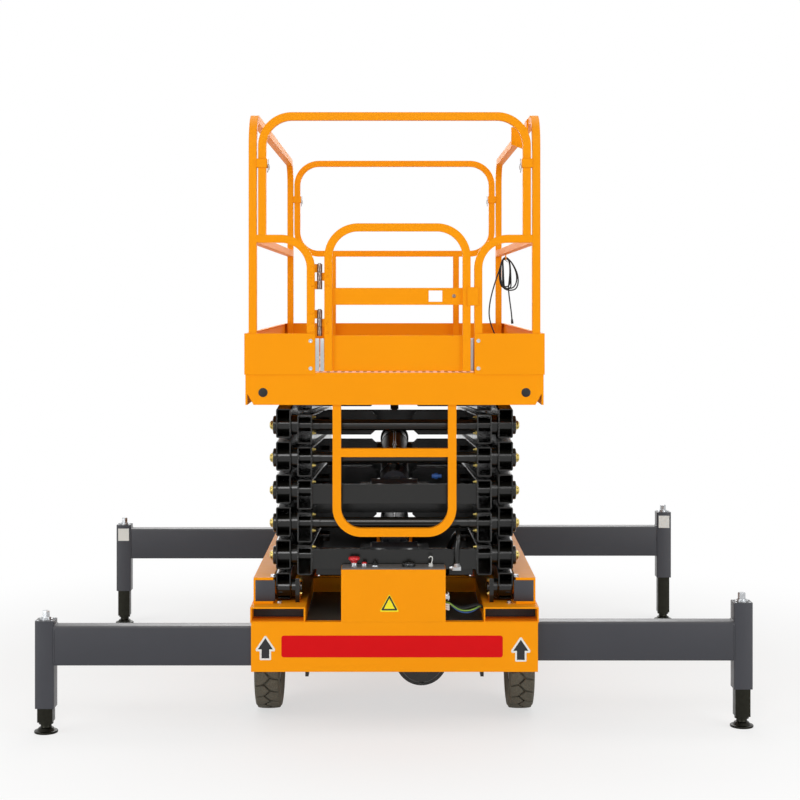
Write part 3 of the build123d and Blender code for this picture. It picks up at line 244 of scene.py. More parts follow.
yellow_zinc = plated_metal("yellow_zinc_plated_steel", "#D8C67A", "#B89F52", 0.32, 0.08, 4)
bright_zinc = plated_metal("bright_zinc_plated_steel", "#C9CBCD", "#A6A9AC", 0.30, 0.08, 4)
hard_chrome = plated_metal("hard_chrome_rod", "#DCDDDE", "#CFD0D2", 0.08, 0.03, 12)
oiled_steel = plated_metal("oiled_jack_steel", "#2E2E28", "#201F1B", 0.38, 0.12, 18)
hinge_steel = plated_metal("oil_blacked_hinge_steel", "#8C8078", "#6E5C52", 0.35, 0.1, 6)

# %% [markdown]
# ## Rubber, plastic and film
# The tyres are solid rubber, grey-brown with road dust that fills the grooves. Cable and hose covers are black PVC
# and rubber. Knobs are moulded ABS. The band and arrows on the near bumper are vinyl film, flat and slightly
# shiny. These are dielectrics: metallic is 0 and the roughness tells rubber from plastic. The IOR starts from the
# plastic's own 1.5 and is lower where a worn or matt skin shines less: a fine grain is too small to draw, and a
# weaker shine stands for it.

# %% rubber, plastic and film
CLOUD = 0.05      # metres: the size of the soft changes of shade


def moulded(name, colour, shade, roughness, grain_mm, grain_height_mm, ior=1.5, dusty=None, edge_mm=1.0):
    """A moulded or drawn surface with a fine grain, and dust in its hollows where asked."""
    material, places = start_finish(name)
    grain = add_node(material, "ShaderNodeTexNoise", {"Vector": places, "Scale": 1 / (grain_mm * MM), "Detail": 4.0})
    clouds = add_node(material, "ShaderNodeTexNoise", {"Vector": places, "Scale": 1 / CLOUD, "Detail": 4.0})
    tint = add_node(material, "ShaderNodeMix", {"Factor": clouds.outputs["Fac"], 6: linear(colour), 7: linear(shade)},
                    data_type="RGBA")
    colour_out = tint.outputs[2]
    if dusty:
        cover = add_node(material, "ShaderNodeMapRange", {"Value": grain.outputs["Fac"], "From Min": 0.45,
                                                          "From Max": 0.7, "To Max": 0.5})
        colour_out = add_node(material, "ShaderNodeMix", {"Factor": cover.outputs["Result"], 6: colour_out,
                                                          7: linear(dusty)}, data_type="RGBA").outputs[2]
    edges = add_node(material, "ShaderNodeBevel", {"Radius": edge_mm * MM}, samples=4)
    bump = add_node(material, "ShaderNodeBump", {"Height": grain.outputs["Fac"], "Distance": grain_height_mm * MM,
                                                 "Strength": 0.5, "Normal": edges.outputs["Normal"]})
    return end_finish(material, Base_Color=colour_out, Roughness=roughness, IOR=ior, Normal=bump.outputs["Normal"])


tyre_rubber = moulded("solid_tyre_rubber", "#5E5B4F", "#4E4B42", 0.85, 5, 0.4, 1.45, dusty="#7B7565", edge_mm=1.5)
cable_pvc = moulded("black_pvc_cable_cover", "#0C0D0E", "#121314", 0.5, 1.5, 0.05, 1.4)
hose_rubber = moulded("black_rubber_hose_cover", "#151515", "#1D1D1C", 0.6, 2, 0.1, 1.52)
black_abs = moulded("black_moulded_abs", "#0D0E0E", "#131414", 0.45, 1.0, 0.05, 1.42)
red_abs = moulded("red_moulded_abs", "#D3121B", "#C00F18", 0.3, 1.5, 0.03, 1.53)
green_pvc = moulded("green_yellow_pvc_wire", "#9CB52B", "#2E7A3A", 0.4, 14, 0.02, 1.54)
blue_pvc = moulded("blue_pvc_wire", "#2F5FA8", "#2A5596", 0.4, 3, 0.02, 1.54)
red_film = moulded("red_vinyl_film", "#D20008", "#CB0007", 0.34, 30, 0.05, 1.25)
white_film = moulded("white_vinyl_film", "#E0E0DB", "#D8D8D2", 0.4, 30, 0.05, 1.4)
yellow_film = moulded("yellow_vinyl_film", "#F0E22A", "#E9DA20", 0.35, 30, 0.05, 1.35)
dark_film = moulded("charcoal_vinyl_film", "#222326", "#1D1E20", 0.4, 30, 0.05, 1.4)
white_abs = moulded("white_moulded_abs", "#DADAD6", "#D0D0CB", 0.4, 1.5, 0.03, 1.5)
red_lens = moulded("red_moulded_acrylic", "#B8101A", "#A60D16", 0.12, 4, 0.3, 1.49)

# %% [markdown]
# ## Dressing the solids
# Each solid names the kind of finish that it takes, as a drawing's notes do, so a table from that name to a finish
# dresses the whole machine. Setting each solid by hand would take sixty lines. The axles are castings low on the
# machine and take the rougher chassis black.

# %% dress the frame
FINISH_OF_SLOT = {"yellow_paint": orange_powder_coat, "black_paint": black_enamel, "grey_paint": grey_enamel,
                  "jack_steel": oiled_steel, "chrome_rod": hard_chrome, "tyre_rubber": tyre_rubber,
                  "rim_paint": rim_enamel, "knob_plastic": red_abs, "cable_rubber": cable_pvc,
                  "connector_plastic": black_abs}
UNDERBODY = ("drive_axle", "steer_axle", "steer_knuckle_left", "steer_knuckle_right", "tie_rod")
for name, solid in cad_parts.items():
    for place in solid.material_slots:
        slot = place.material.name.split(".")[0]
        place.material = axle_enamel if name in UNDERBODY else FINISH_OF_SLOT.get(slot, black_enamel)
print("dressed", len(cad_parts), "solids")

# %% [markdown]
# ## Making small pieces
# Bolts, plugs, bands and collars are a box with eased edges, a shape turned round an axis or a flat plate, so a few
# helpers draw them into one mesh. Another turns the mesh to metres, smooths its round faces, gives it its finish and
# lets it ride on its body. Wires are curves instead, because a curve keeps a round section along any bend. Like
# parts on one body share one mesh, because that is how a fitter thinks of a set of bolts.

# %% shape helpers
def add_box(mesh, x, y, z, edge=1.0):
    """A box between low and high x, y and z, its edges eased."""
    made = bmesh.ops.create_cube(mesh, size=1.0)
    middle = Vector(((x[0] + x[1]) / 2, (y[0] + y[1]) / 2, (z[0] + z[1]) / 2))
    size = (x[1] - x[0], y[1] - y[0], z[1] - z[0])
    bmesh.ops.transform(mesh, verts=made["verts"], matrix=Matrix.Translation(middle) @ Matrix.Diagonal((*size, 1)))
    if edge:
        edges = list(dict.fromkeys(e for v in made["verts"] for e in v.link_edges))
        bmesh.ops.bevel(mesh, geom=edges, offset=edge, segments=2, profile=0.6, affect="EDGES")


def add_turned(mesh, start, axis, outline, sides=24, twist=0.0):
    """A shape turned round an axis: the outline gives places along the axis and radii. Six sides make a hexagon."""
    along = Vector(axis).normalized()
    across = along.orthogonal().normalized()
    if abs(along.z) < 0.9:
        across = along.cross(Vector((0, 0, 1))).normalized()
    up = along.cross(across)
    rings = []
    for distance, radius in outline:
        middle = Vector(start) + along * distance
        if radius == 0:
            rings.append([mesh.verts.new(middle)])
            continue
        ring = []
        for step in range(sides):
            angle = twist + tau * step / sides
            ring.append(mesh.verts.new(middle + (across * cos(angle) + up * sin(angle)) * radius))
        rings.append(ring)
    for low, high in zip(rings, rings[1:]):
        for step in range(sides):
            corners = [low[step % len(low)], low[(step + 1) % len(low)],
                       high[(step + 1) % len(high)], high[step % len(high)]]
            mesh.faces.new(list(dict.fromkeys(corners)))
    for ring in (rings[0], rings[-1]):
        if len(ring) > 1:
            mesh.faces.new(ring)
    return rings


def add_plate(mesh, corners, thickness):
    """A flat plate: its outline's corners in order, pushed back by the thickness vector."""
    front = [mesh.verts.new(Vector(c)) for c in corners]
    back = [mesh.verts.new(Vector(c) + Vector(thickness)) for c in corners]
    mesh.faces.new(front)
    mesh.faces.new(back[::-1])
    for step in range(len(corners)):
        after = (step + 1) % len(corners)
        mesh.faces.new((front[step], back[step], back[after], front[after]))


def add_bolt(mesh, place, axis, size, washer=True):
    """A hexagon-head bolt and washer standing on a face; size is the thread in mm, the rest follows from it."""
    base = 0.0
    if washer:
        add_turned(mesh, place, axis, ((0, size * 1.05), (size * 0.18, size * 1.05)), 20)
        base = size * 0.18
    head, corner = size * 0.65, size * 0.95
    add_turned(mesh, place, axis, ((base, corner), (base + head * 0.85, corner), (base + head, size * 0.82)), 6)


def finish_piece(name, mesh, body, finish, smooth=35):
    """Mesh in mm to an object in metres, smooth where its faces meet at less than the angle, on its body."""
    bmesh.ops.recalc_face_normals(mesh, faces=mesh.faces)
    bmesh.ops.scale(mesh, vec=(MM, MM, MM), verts=mesh.verts)
    data = bpy.data.meshes.new(name)
    mesh.to_mesh(data)
    mesh.free()
    data.shade_smooth()
    data.set_sharp_from_angle(angle=radians(smooth))
    data.materials.append(finish)
    piece = bpy.data.objects.new(name, data)
    bpy.context.scene.collection.objects.link(piece)
    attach(piece, body)
    print(name, len(data.polygons), "faces on", body)
    return piece


def drawn_wire(name, lines, radius, body, finish, sides=3):
    """Round wires or hoses, each a smooth curve through the mm places given as its control points."""
    data = bpy.data.curves.new(name, "CURVE")
    data.dimensions = "3D"
    data.bevel_depth = 1.0    # times each point's own radius, so that the curve's box is its true one
    data.bevel_resolution = sides
    data.use_fill_caps = True
    for places in lines:
        line = data.splines.new("NURBS")
        line.points.add(len(places) - 1)
        for point, place in zip(line.points, places):
            point.co = (*(Vector(place) * MM), 1)
            point.radius = radius * MM
        line.order_u = 3
        line.use_endpoint_u = True
        line.resolution_u = 6
    data.materials.append(finish)
    piece = bpy.data.objects.new(name, data)
    bpy.context.scene.collection.objects.link(piece)
    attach(piece, body)
    print(name, len(lines), "lines on", body)
    return piece


# %% [markdown]
# ## The cable, its gland and its connector
# The cable is 7 mm control cable, limp enough to be hanked by hand. The route above becomes one curve with a round
# section. Where it leaves the deck a tapered rubber sleeve stops it bending sharply, and its connector is a moulded
# plug with a ribbed grip and a metal collar. A short tie holds the turns together at the hook.

# %% cable, sleeve, connector and tie
GLAND = Vector(CABLE_LEAD[0])
control_cable = drawn_wire("control_cable", [route], CABLE_RADIUS, "platform", cable_pvc, sides=5)
control_cable.data.splines[0].resolution_u = 8
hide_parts("cable_lead", "cable_hank", "cable_tail")

tail_end, tail_before = Vector(CABLE_TAIL[-1]), Vector(CABLE_TAIL[-2])
down = (tail_end - tail_before).normalized()
shell = bmesh.new()
add_turned(shell, tail_end - down * 1, down, (
    (0, 3.6), (0, 4.4), (6, 5.2), (6, 5.9), (8, 5.9), (8, 5.4), (10, 5.4), (10, 6.2), (12, 6.2), (12, 5.6), (14, 5.6),
    (14, 6.4), (24.5, 6.4), (25.5, 5.8), (25.5, 5.0), (22, 4.8), (22, 0)), 28)
connector = finish_piece("cable_connector_shell", shell, "platform", black_abs)
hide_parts("cable_connector")
sleeve = bmesh.new()
add_turned(sleeve, GLAND - Vector((0, 0, 1)), (0, 0, 1), (
    (0, 3.7), (0, 8.5), (4, 8.5), (6, 7.2), (9, 7.2), (10, 6.7), (12, 6.7), (13, 6.3), (15, 6.3), (16, 5.8),
    (18, 5.8), (19, 5.2), (26, 4.3), (26, 3.6)), 28)
strain_relief = finish_piece("cable_strain_relief", sleeve, "platform", hose_rubber)
tie = drawn_wire("hank_tie", [[
    (569, 712, 1957), (574, 704, 1962), (586, 702, 1957), (590, 716, 1953), (590, 731, 1957), (580, 738, 1960),
    (568, 732, 1958), (566, 718, 1955), (571, 709, 1957), (581, 706, 1952), (588, 707, 1943)]],
    1.6, "platform", cable_pvc)

# %% [markdown]
# ## Solid tyres
# Each tyre is solid rubber on a pressed rim. Two rows of five-sided blocks are staggered by half a pitch, so the
# grooves make a zigzag round the middle with a branch out to each shoulder. A bump map would leave the outline
# smooth, so the blocks are real: every block is one small mesh on the round carcass, twenty to a row. They are laid
# out flat, as in a tyre maker's drawing, and wrapped round the wheel.

# %% carcass and tread block
TYRE_RADIUS, TREAD_DEPTH, PITCHES = 200.0, 11.0, 20
CARCASS = (  # along the wheel's axis from its middle, radius
    (-43, 102.5), (-46, 118), (-52, 150), (-53, 152), (-53, 156), (-54.5, 160), (-55, 174), (-53, 186), (-46, 189),
    (46, 189), (53, 186), (55, 174), (54.5, 160), (53, 156), (53, 152), (52, 150), (46, 118), (43, 102.5),
)
BLOCK_HALF = 47.0         # half width of the tread's flat
ZIGZAG = 12.0             # sideways swing of the middle groove
GROOVE = 3.2              # half the width of a groove
SHOULDER_RISE = 9.0       # a block's outer end lies this far round from its inner end
CROWN_DROP = 3.2          # the tread is this much lower at its edge


def add_block(mesh, wheel, side, turn):
    """One tread block: its outline is inset from the grooves and laid round the carcass."""
    step = tau * TYRE_RADIUS / PITCHES
    outline = [(-ZIGZAG, 0), (ZIGZAG, step / 2), (-ZIGZAG, step), (-BLOCK_HALF, step + SHOULDER_RISE),
               (-BLOCK_HALF, SHOULDER_RISE)]
    middle = Vector((sum(p[0] for p in outline) / 5, sum(p[1] for p in outline) / 5))
    inset = []
    for number, corner in enumerate(outline):
        before, after = Vector(outline[number - 1]), Vector(outline[(number + 1) % 5])
        corner = Vector(corner)
        one, two = (corner - before).normalized(), (after - corner).normalized()
        inward = Vector((-one.y, one.x)) + Vector((-two.y, two.x))
        if inward.dot(middle - corner) < 0:
            inward = -inward
        keep = 0.15 if corner.x == -BLOCK_HALF else 1.0
        inset.append(corner + Vector((inward.x * GROOVE * keep, inward.y * GROOVE)))
    edge = []
    for number, corner in enumerate(inset):
        edge += [corner, (corner + inset[(number + 1) % 5]) / 2]

    def on_tyre(across, around, radius):
        angle = turn + around / TYRE_RADIUS
        return mesh.verts.new(wheel + Vector((across * side, cos(angle) * radius, sin(angle) * radius)))

    def crown(across):
        return TYRE_RADIUS - 0.2 - CROWN_DROP * (abs(across) / BLOCK_HALF) ** 3

    top = [on_tyre(p.x * 0.97, middle.y + (p.y - middle.y) * 0.94, crown(p.x) - 0.3) for p in edge]
    lip = [on_tyre(p.x, p.y, crown(p.x) - 1.6) for p in edge]
    foot = []
    for p in edge:
        outer = p.x < -BLOCK_HALF + 3
        foot.append(on_tyre(p.x - (7.2 if outer else 0), p.y, TYRE_RADIUS - (19 if outer else TREAD_DEPTH + 1)))
    centre = on_tyre(middle.x, middle.y, crown(middle.x))
    count = len(edge)
    for n in range(count):
        after = (n + 1) % count
        mesh.faces.new((centre, top[n], top[after]))
        mesh.faces.new((top[n], lip[n], lip[after], top[after]))
        mesh.faces.new((lip[n], foot[n], foot[after], lip[after]))


# %% [markdown]
# ## Laying the blocks round a wheel
# A row of blocks on one side leads the other row by half a block. The carcass is turned first, open at its sides
# where the rim closes it, and the finished tyre takes the place of the plain solid one.

# %% tyres
def wheel_middle(name):
    """The middle of a wheel in mm, from the solid tyre's box."""
    low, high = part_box(f"tyre_{name}")
    return (low + high) / 2 / MM


WHEELS = (("near_left", -1), ("near_right", 1), ("far_left", -1), ("far_right", 1))
for name, _ in WHEELS:
    wheel = wheel_middle(name)
    mesh = bmesh.new()
    add_turned(mesh, wheel, (1, 0, 0), CARCASS, 96)
    bmesh.ops.delete(mesh, geom=[f for f in mesh.faces if len(f.verts) > 4], context="FACES_ONLY")
    for number in range(PITCHES):
        add_block(mesh, wheel, 1, tau * number / PITCHES)
        add_block(mesh, wheel, -1, tau * (number + 0.5) / PITCHES)
    tyre = finish_piece(f"treaded_tyre_{name}", mesh, f"wheel_{name}", tyre_rubber)
    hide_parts(f"tyre_{name}")

# %% [markdown]
# ## Wheel fastenings
# A pressed wheel shows five nuts round its hub and a domed grease cap over the axle's end. The rim itself is
# already a solid, so only these are drawn, each turned from half of its section.

# %% wheel nuts and grease caps
WHEEL_NUTS, NUT_CIRCLE = 5, 68.0
WHEEL_NUT = ((-6, 12), (2, 12), (2, 9.5), (12, 9.5), (14, 8), (14, 5), (20, 5), (21, 4))
GREASE_CAP = ((0, 31), (4, 31), (5, 29), (16, 28), (22, 24), (25, 17), (26, 8), (26, 0))
for name, side in WHEELS:
    wheel = wheel_middle(name)
    nuts, caps = bmesh.new(), bmesh.new()
    for number in range(WHEEL_NUTS):
        angle = tau * (number + 0.5) / WHEEL_NUTS
        place = wheel + Vector((side * 11, cos(angle) * NUT_CIRCLE, sin(angle) * NUT_CIRCLE))
        add_turned(nuts, place, (side, 0, 0), WHEEL_NUT, 6)
    add_turned(caps, wheel + Vector((side * 20, 0, 0)), (side, 0, 0), GREASE_CAP, 32)
    finish_piece(f"wheel_nuts_{name}", nuts, f"wheel_{name}", bright_zinc)
    finish_piece(f"grease_cap_{name}", caps, f"wheel_{name}", bright_zinc)

# %% [markdown]
# ## Scissor pins
# Each arm turns on a fixed pin that a fitter can draw out: a collar and a yellow zinc nut hold it outside, and
# inside the arm a keeper with two bolts stops it turning. All of these are repeated down both sides, so one loop
# places them from the pin's place on its arm. A cross tube joins each pair of inner arms at its pins, except where
# the beams that carry the cylinders already do.

# %% pin nuts and keepers
STAGES, PIN_SPAN, STAGE_RISE = 6, 2000.0, 134.0
NEAR_PIN_Y, LOWER_PIN_Z = -1065.0, 567.0
FOLD = asin(STAGE_RISE / PIN_SPAN)
COLLAR_X, NUT_X, TAIL_X = 484.5, 499.5, 307.0    # outer arm's face, collar's face, end of the pin inside
PIN_COLLAR = ((0.4, 36.5), (2, 38), (12, 38), (14.8, 35.5), (14.9, 26))
PIN_WASHER = ((-0.5, 24), (2.5, 24))
PIN_NUT = ((2.5, 19.5), (9, 19.5), (11, 17))
PIN_END = ((11, 14), (13.5, 12.5), (15, 8), (15.5, 0))
TAIL_GREASER = ((12, 4), (15, 4), (16, 2.8), (17, 3.4), (18, 2))
TAIL_NUTS = {(5, 1): 13.5, (3, 1): 13.5, (1, 1): 9}     # stage and side of the near pins with an inner nut: its radius
FAR_TAIL_NUT = 9
KEEPER_RISE = 33.0        # the keeper's bolts lie this far over and under the pin
CROSS_TUBE_RADIUS = 22.6


def on_inner_arm(stage, x, along, rise):
    """A place on an inner arm, which drops from its near pin to the far end."""
    z = LOWER_PIN_Z + STAGE_RISE * stage
    return Vector((x, NEAR_PIN_Y + along * cos(FOLD) + rise * sin(FOLD), z - along * sin(FOLD) + rise * cos(FOLD)))


for stage in range(1, STAGES + 1):
    pins = ([0.0] if stage < STAGES else []) + ([PIN_SPAN] if stage > 1 else [])
    nuts, keepers, tubes, collars = bmesh.new(), bmesh.new(), bmesh.new(), bmesh.new()
    for along in pins:
        for side in (-1, 1):
            place = on_inner_arm(stage, side * NUT_X, along, 0)
            add_turned(nuts, place, (side, 0, 0), PIN_WASHER, 28)
            add_turned(nuts, place, (side, 0, 0), PIN_NUT, 6)
            add_turned(nuts, place, (side, 0, 0), PIN_END, 20)
            add_turned(collars, on_inner_arm(stage, side * COLLAR_X, along, 0), (side, 0, 0), PIN_COLLAR, 40)
            tail = on_inner_arm(stage, side * TAIL_X, along, 0)
            reach = TAIL_NUTS.get((stage, side), 0) if along == 0 else FAR_TAIL_NUT
            if reach:
                add_turned(keepers, tail, (-side, 0, 0), ((-2, reach + 4), (1.5, reach + 4), (1.5, reach), (11, reach),
                                                          (12.5, reach - 2)), 6)
                add_turned(keepers, tail, (-side, 0, 0), TAIL_GREASER, 12)
            for rise in (-KEEPER_RISE, KEEPER_RISE):
                bolt = on_inner_arm(stage, side * (TAIL_X + 30), along, rise)
                add_turned(keepers, bolt, (-side, 0, 0), ((-1, 9), (1.5, 9)), 20)
                add_bolt(keepers, bolt - Vector((side * 1.5, 0, 0)), (-side, 0, 0), 7.0, washer=False)
                add_turned(keepers, bolt - Vector((side * 5, 0, 0)), (-side, 0, 0), ((0, 4), (7, 4), (8, 3)), 14)
    for along in pins:
        carries_beam = stage in (1, 3) and along == 0 or stage in (3, 5) and along > 0
        if not carries_beam:
            start = on_inner_arm(stage, -TAIL_X + 4, along, 0)
            add_turned(tubes, start, (1, 0, 0), ((0, CROSS_TUBE_RADIUS), (2 * TAIL_X - 8, CROSS_TUBE_RADIUS)), 36)
    finish_piece(f"pin_nuts_{stage}", nuts, f"inner_arm_{stage}", yellow_zinc)
    finish_piece(f"pin_keepers_{stage}", keepers, f"inner_arm_{stage}", yellow_zinc)
    finish_piece(f"pin_collars_{stage}", collars, f"inner_arm_{stage}", black_enamel)
    if tubes.verts:
        finish_piece(f"cross_tubes_{stage}", tubes, f"inner_arm_{stage}", black_enamel)
    else:
        tubes.free()

# %% [markdown]
# ## Lift cylinders
# The barrel's open end is closed by a ringed gland with a wiper lip, and a steel pipe runs along the barrel to its
# port block at the foot, held by three clips. They ride on the barrel, so that the pipe stays with it when the
# cylinder tilts. Everything is placed along the line from the cylinder's foot to its eye, because a drawing in the
# machine's own level directions would need each place worked out twice.

# %% cylinder glands, pipes and port blocks
CYLINDERS = (("lower", 1, 3), ("upper", 3, 5))    # name, stages that carry its foot and its eye
FOOT_ALONG, EYE_ALONG, EYE_RISE = 200.0, 1700.0, -60.0
BARREL_END, GLAND_BOLTS, BOLT_CIRCLE = 1350, 6, 60
CYLINDER_GLAND = ((-52, 69), (-49, 70.5), (-4, 70.5), (0, 68), (0, 58), (6, 56), (8, 50), (8, 40), (12, 38.5),
                  (12, 34.6))
PIPE_RUN = (  # along the barrel, out from its middle line
    (96, 96), (128, 96), (150, 74), (230, 70), (700, 70), (1250, 70), (1310, 78), (1318, 80),
)
for name, foot_stage, eye_stage in CYLINDERS:
    foot = on_inner_arm(foot_stage, 0, FOOT_ALONG, 0)
    eye = on_inner_arm(eye_stage, 0, EYE_ALONG, EYE_RISE)
    run = (eye - foot).normalized()
    over = Vector((1, 0, 0)).cross(run)
    gland, pipe = bmesh.new(), bmesh.new()
    end = foot + run * BARREL_END
    add_turned(gland, end, run, CYLINDER_GLAND, 48)
    for step in range(GLAND_BOLTS):
        around = tau * step / GLAND_BOLTS
        place = end + Vector((cos(around) * BOLT_CIRCLE, 0, 0)) + over * sin(around) * BOLT_CIRCLE
        add_bolt(gland, place, run, 6.0, washer=False)
    finish_piece(f"{name}_cylinder_gland", gland, f"{name}_cylinder", black_enamel)
    for along in (260, 700, 1140):
        place = foot + run * along
        add_turned(pipe, place - run * 9, run, ((0, 62.2), (0, 64.5), (18, 64.5), (18, 62.2)), 48)
        add_turned(pipe, place + over * 68 - run * 12, run, ((0, 10), (24, 10)), 6)
    finish_piece(f"{name}_cylinder_clips", pipe, f"{name}_cylinder", black_enamel)
    block = bmesh.new()
    add_turned(block, foot + run * 96 + over * 56, over, ((0, 22), (30, 22), (30, 14), (44, 14), (46, 12)), 6)
    add_turned(block, foot + run * 1318 + over * 64, over, ((0, 16), (12, 16), (12, 11), (18, 11)), 6)
    finish_piece(f"{name}_cylinder_ports", block, f"{name}_cylinder", black_enamel)
    drawn_wire(f"{name}_cylinder_pipe", [[foot + run * along + over * out for along, out in PIPE_RUN]],
               6, f"{name}_cylinder", black_enamel)

# %% [markdown]
# ## Tie plates
# Halfway along each pair of inner arms two folded plates stiffen the arms from within. They stop short of the
# middle, where the cylinders pass, so they never meet a cylinder while the lift unfolds. Each is an outline pushed
# back by its thickness, with a shelf bent from its top edge.

# %% tie plates between the inner arms
TIE_PLATES = ((1000.0, -57.0, 57.0), (1420.0, -40.0, 50.0))    # along the arm, lowest and highest rise
ARM_INSIDE_X = 338
for stage in range(1, STAGES + 1):
    ties = bmesh.new()
    for side in (-1, 1):
        for along, low_rise, high_rise in TIE_PLATES:
            corners = [on_inner_arm(stage, side * x, along, rise) for x, rise in
                       ((ARM_INSIDE_X, low_rise), (ARM_INSIDE_X, high_rise), (112, high_rise), (84, high_rise - 26),
                        (84, low_rise + 26), (112, low_rise))]
            add_plate(ties, corners, (0, 5, 0))
            shelf = [on_inner_arm(stage, side * x, along + step, high_rise) for x, step in
                     ((ARM_INSIDE_X, 0), (ARM_INSIDE_X, 26), (114, 26), (114, 0))]
            add_plate(ties, shelf, (0, 0, -4))
    finish_piece(f"tie_plates_{stage}", ties, f"inner_arm_{stage}", black_enamel)

# %% [markdown]
# ## Chassis ends
# Grey blocks close the roller channels beside the lowest pins, and each of these pins turns in an ear that is held
# by two bolts and covered by a plate. They sit in the chassis' near end, low and in plain view, so each is drawn
# with its edges eased.

# %% pivot blocks and their bolts
CHANNEL_Y, CHANNEL_Z = -1141.0, (514.0, 620.0)
EAR_X = 389               # the ear's inner face
blocks, bolts, studs, covers = (bmesh.new() for _ in range(4))
for side in (-1, 1):
    x = sorted((side * 487.5, side * 567.5))
    add_box(blocks, x, (CHANNEL_Y - 1.5, CHANNEL_Y + 15), (CHANNEL_Z[0] + 10.5, CHANNEL_Z[1] - 10.5), 3)
    for rise in (-21, 36):
        place = Vector((side * EAR_X, NEAR_PIN_Y - 20, LOWER_PIN_Z + rise))
        add_turned(bolts, place, (-side, 0, 0), ((-1, 12), (3, 12)), 20)
        add_bolt(bolts, place + Vector((-side * 3, 0, 0)), (-side, 0, 0), 9.5, washer=False)
    x = sorted((side * 388.0, side * 406.0))
    add_box(covers, x, (-1116.5, -1114.5), (515, 613), 0.4)
    ear_boss = (side * (EAR_X - 7), NEAR_PIN_Y, LOWER_PIN_Z)
    add_turned(covers, ear_boss, (-side, 0, 0), ((-7, 31), (0.5, 31), (2, 29), (2, 0)), 36)
    add_turned(covers, (side * 405.5, NEAR_PIN_Y, LOWER_PIN_Z), (side, 0, 0), ((0, 36), (17.5, 36)), 36)
    add_bolt(studs, Vector((side * 497, CHANNEL_Y + 25, CHANNEL_Z[1])), (0, 0, 1), 12)
    add_bolt(studs, Vector((side * 470, CHANNEL_Y + 18, CHANNEL_Z[0])), (0, 0, 1), 11)
finish_piece("ear_covers", covers, "chassis", black_enamel)
finish_piece("pivot_blocks", blocks, "chassis", grey_enamel)
finish_piece("ear_bolts", bolts, "chassis", yellow_zinc)
finish_piece("pivot_block_studs", studs, "chassis", bright_zinc)

# %% [markdown]
# ## Films on the near end
# A band of red film with round corners crosses the near bumper between two arrow marks, and a yellow triangle is
# stuck on the cabinet. A film could be a patch of colour in the paint, but its cut edge shows, so each is a real
# sheet a quarter of a millimetre thick with its own glossy finish. The band, the marks and the triangle carry no
# words or signs.

# %% film band, arrows and triangle
FRONT = -1225.0           # the outer face of the near bumper


def rounded_outline(x, z, radius, steps=6):
    """The corners of a rectangle with round corners, seen from the near end."""
    places = []
    for corner_x, corner_z, start in ((x[1], z[1], 0), (x[0], z[1], 1), (x[0], z[0], 2), (x[1], z[0], 3)):
        middle_x = corner_x - radius if corner_x == x[1] else corner_x + radius
        middle_z = corner_z - radius if corner_z == z[1] else corner_z + radius
        for step in range(steps + 1):
            angle = (start + step / steps) * pi / 2
            places.append((middle_x + radius * cos(angle), middle_z + radius * sin(angle)))
    return places


def add_film(mesh, outline, out, thick=0.25, face=FRONT):
    """A film cut to an outline of (x, z) places, out mm off the face it is stuck to."""
    add_plate(mesh, [(x, face - out, z) for x, z in outline], (0, thick, 0))


BAND_X, BAND_Z, BAND_CORNER = (-455.5, 436.2), (313.5, 401.5), 10
ARROW_PLACES = ((-520.0, 350.0), (508.7, 344.0))
ARROW = ((0, 41), (30.5, -4), (15.5, -4), (15.5, -40.5), (-15.5, -40.5), (-15.5, -4), (-30.5, -4))
ARROW_BORDER = ((-3, 50), (3, 50), (38.5, -2), (39, -7), (36, -12), (23, -12), (23, -45), (20, -47.5), (-20, -47.5),
                (-23, -45), (-23, -12), (-36, -12), (-39, -7), (-38.5, -2))
band, border, mark, margin, line, field = (bmesh.new() for _ in range(6))
add_film(band, rounded_outline(BAND_X, BAND_Z, BAND_CORNER), 0.25)
for x, z in ARROW_PLACES:
    add_film(border, [(x + px, z + pz) for px, pz in ARROW_BORDER], 0.22)
    add_film(mark, [(x + px, z + pz) for px, pz in ARROW], 0.42, 0.2)
add_film(margin, [(-56, 497), (14.5, 497), (17, 501), (-19, 566.5), (-22.5, 566.5), (-58.5, 501)], 0.22)
add_film(line, [(-50, 502.5), (8.5, 502.5), (11, 506), (-18.8, 562), (-22.2, 562), (-52.5, 506)], 0.32, 0.2)
add_film(field, [(-43, 509), (1.5, 509), (-20.7, 551.5)], 0.42, 0.2)
finish_piece("band", band, "chassis", red_film)
finish_piece("arrow_borders", border, "chassis", white_film)
finish_piece("arrows", mark, "chassis", dark_film)
finish_piece("triangle_margin", margin, "chassis", yellow_film)
finish_piece("triangle_line", line, "chassis", dark_film)
finish_piece("triangle_field", field, "chassis", yellow_film)

# %% [markdown]
# ## Ground controls
# The operator on the ground has a row of controls on the box's dark lid: a red mushroom stop that latches, a red
# lamp, a selector switch, a key switch and a small lever. Each is a moulded or plated part seated in a collar. The
# plain solids only hold their places, so turned shapes replace them. The lid has no symbols or words.

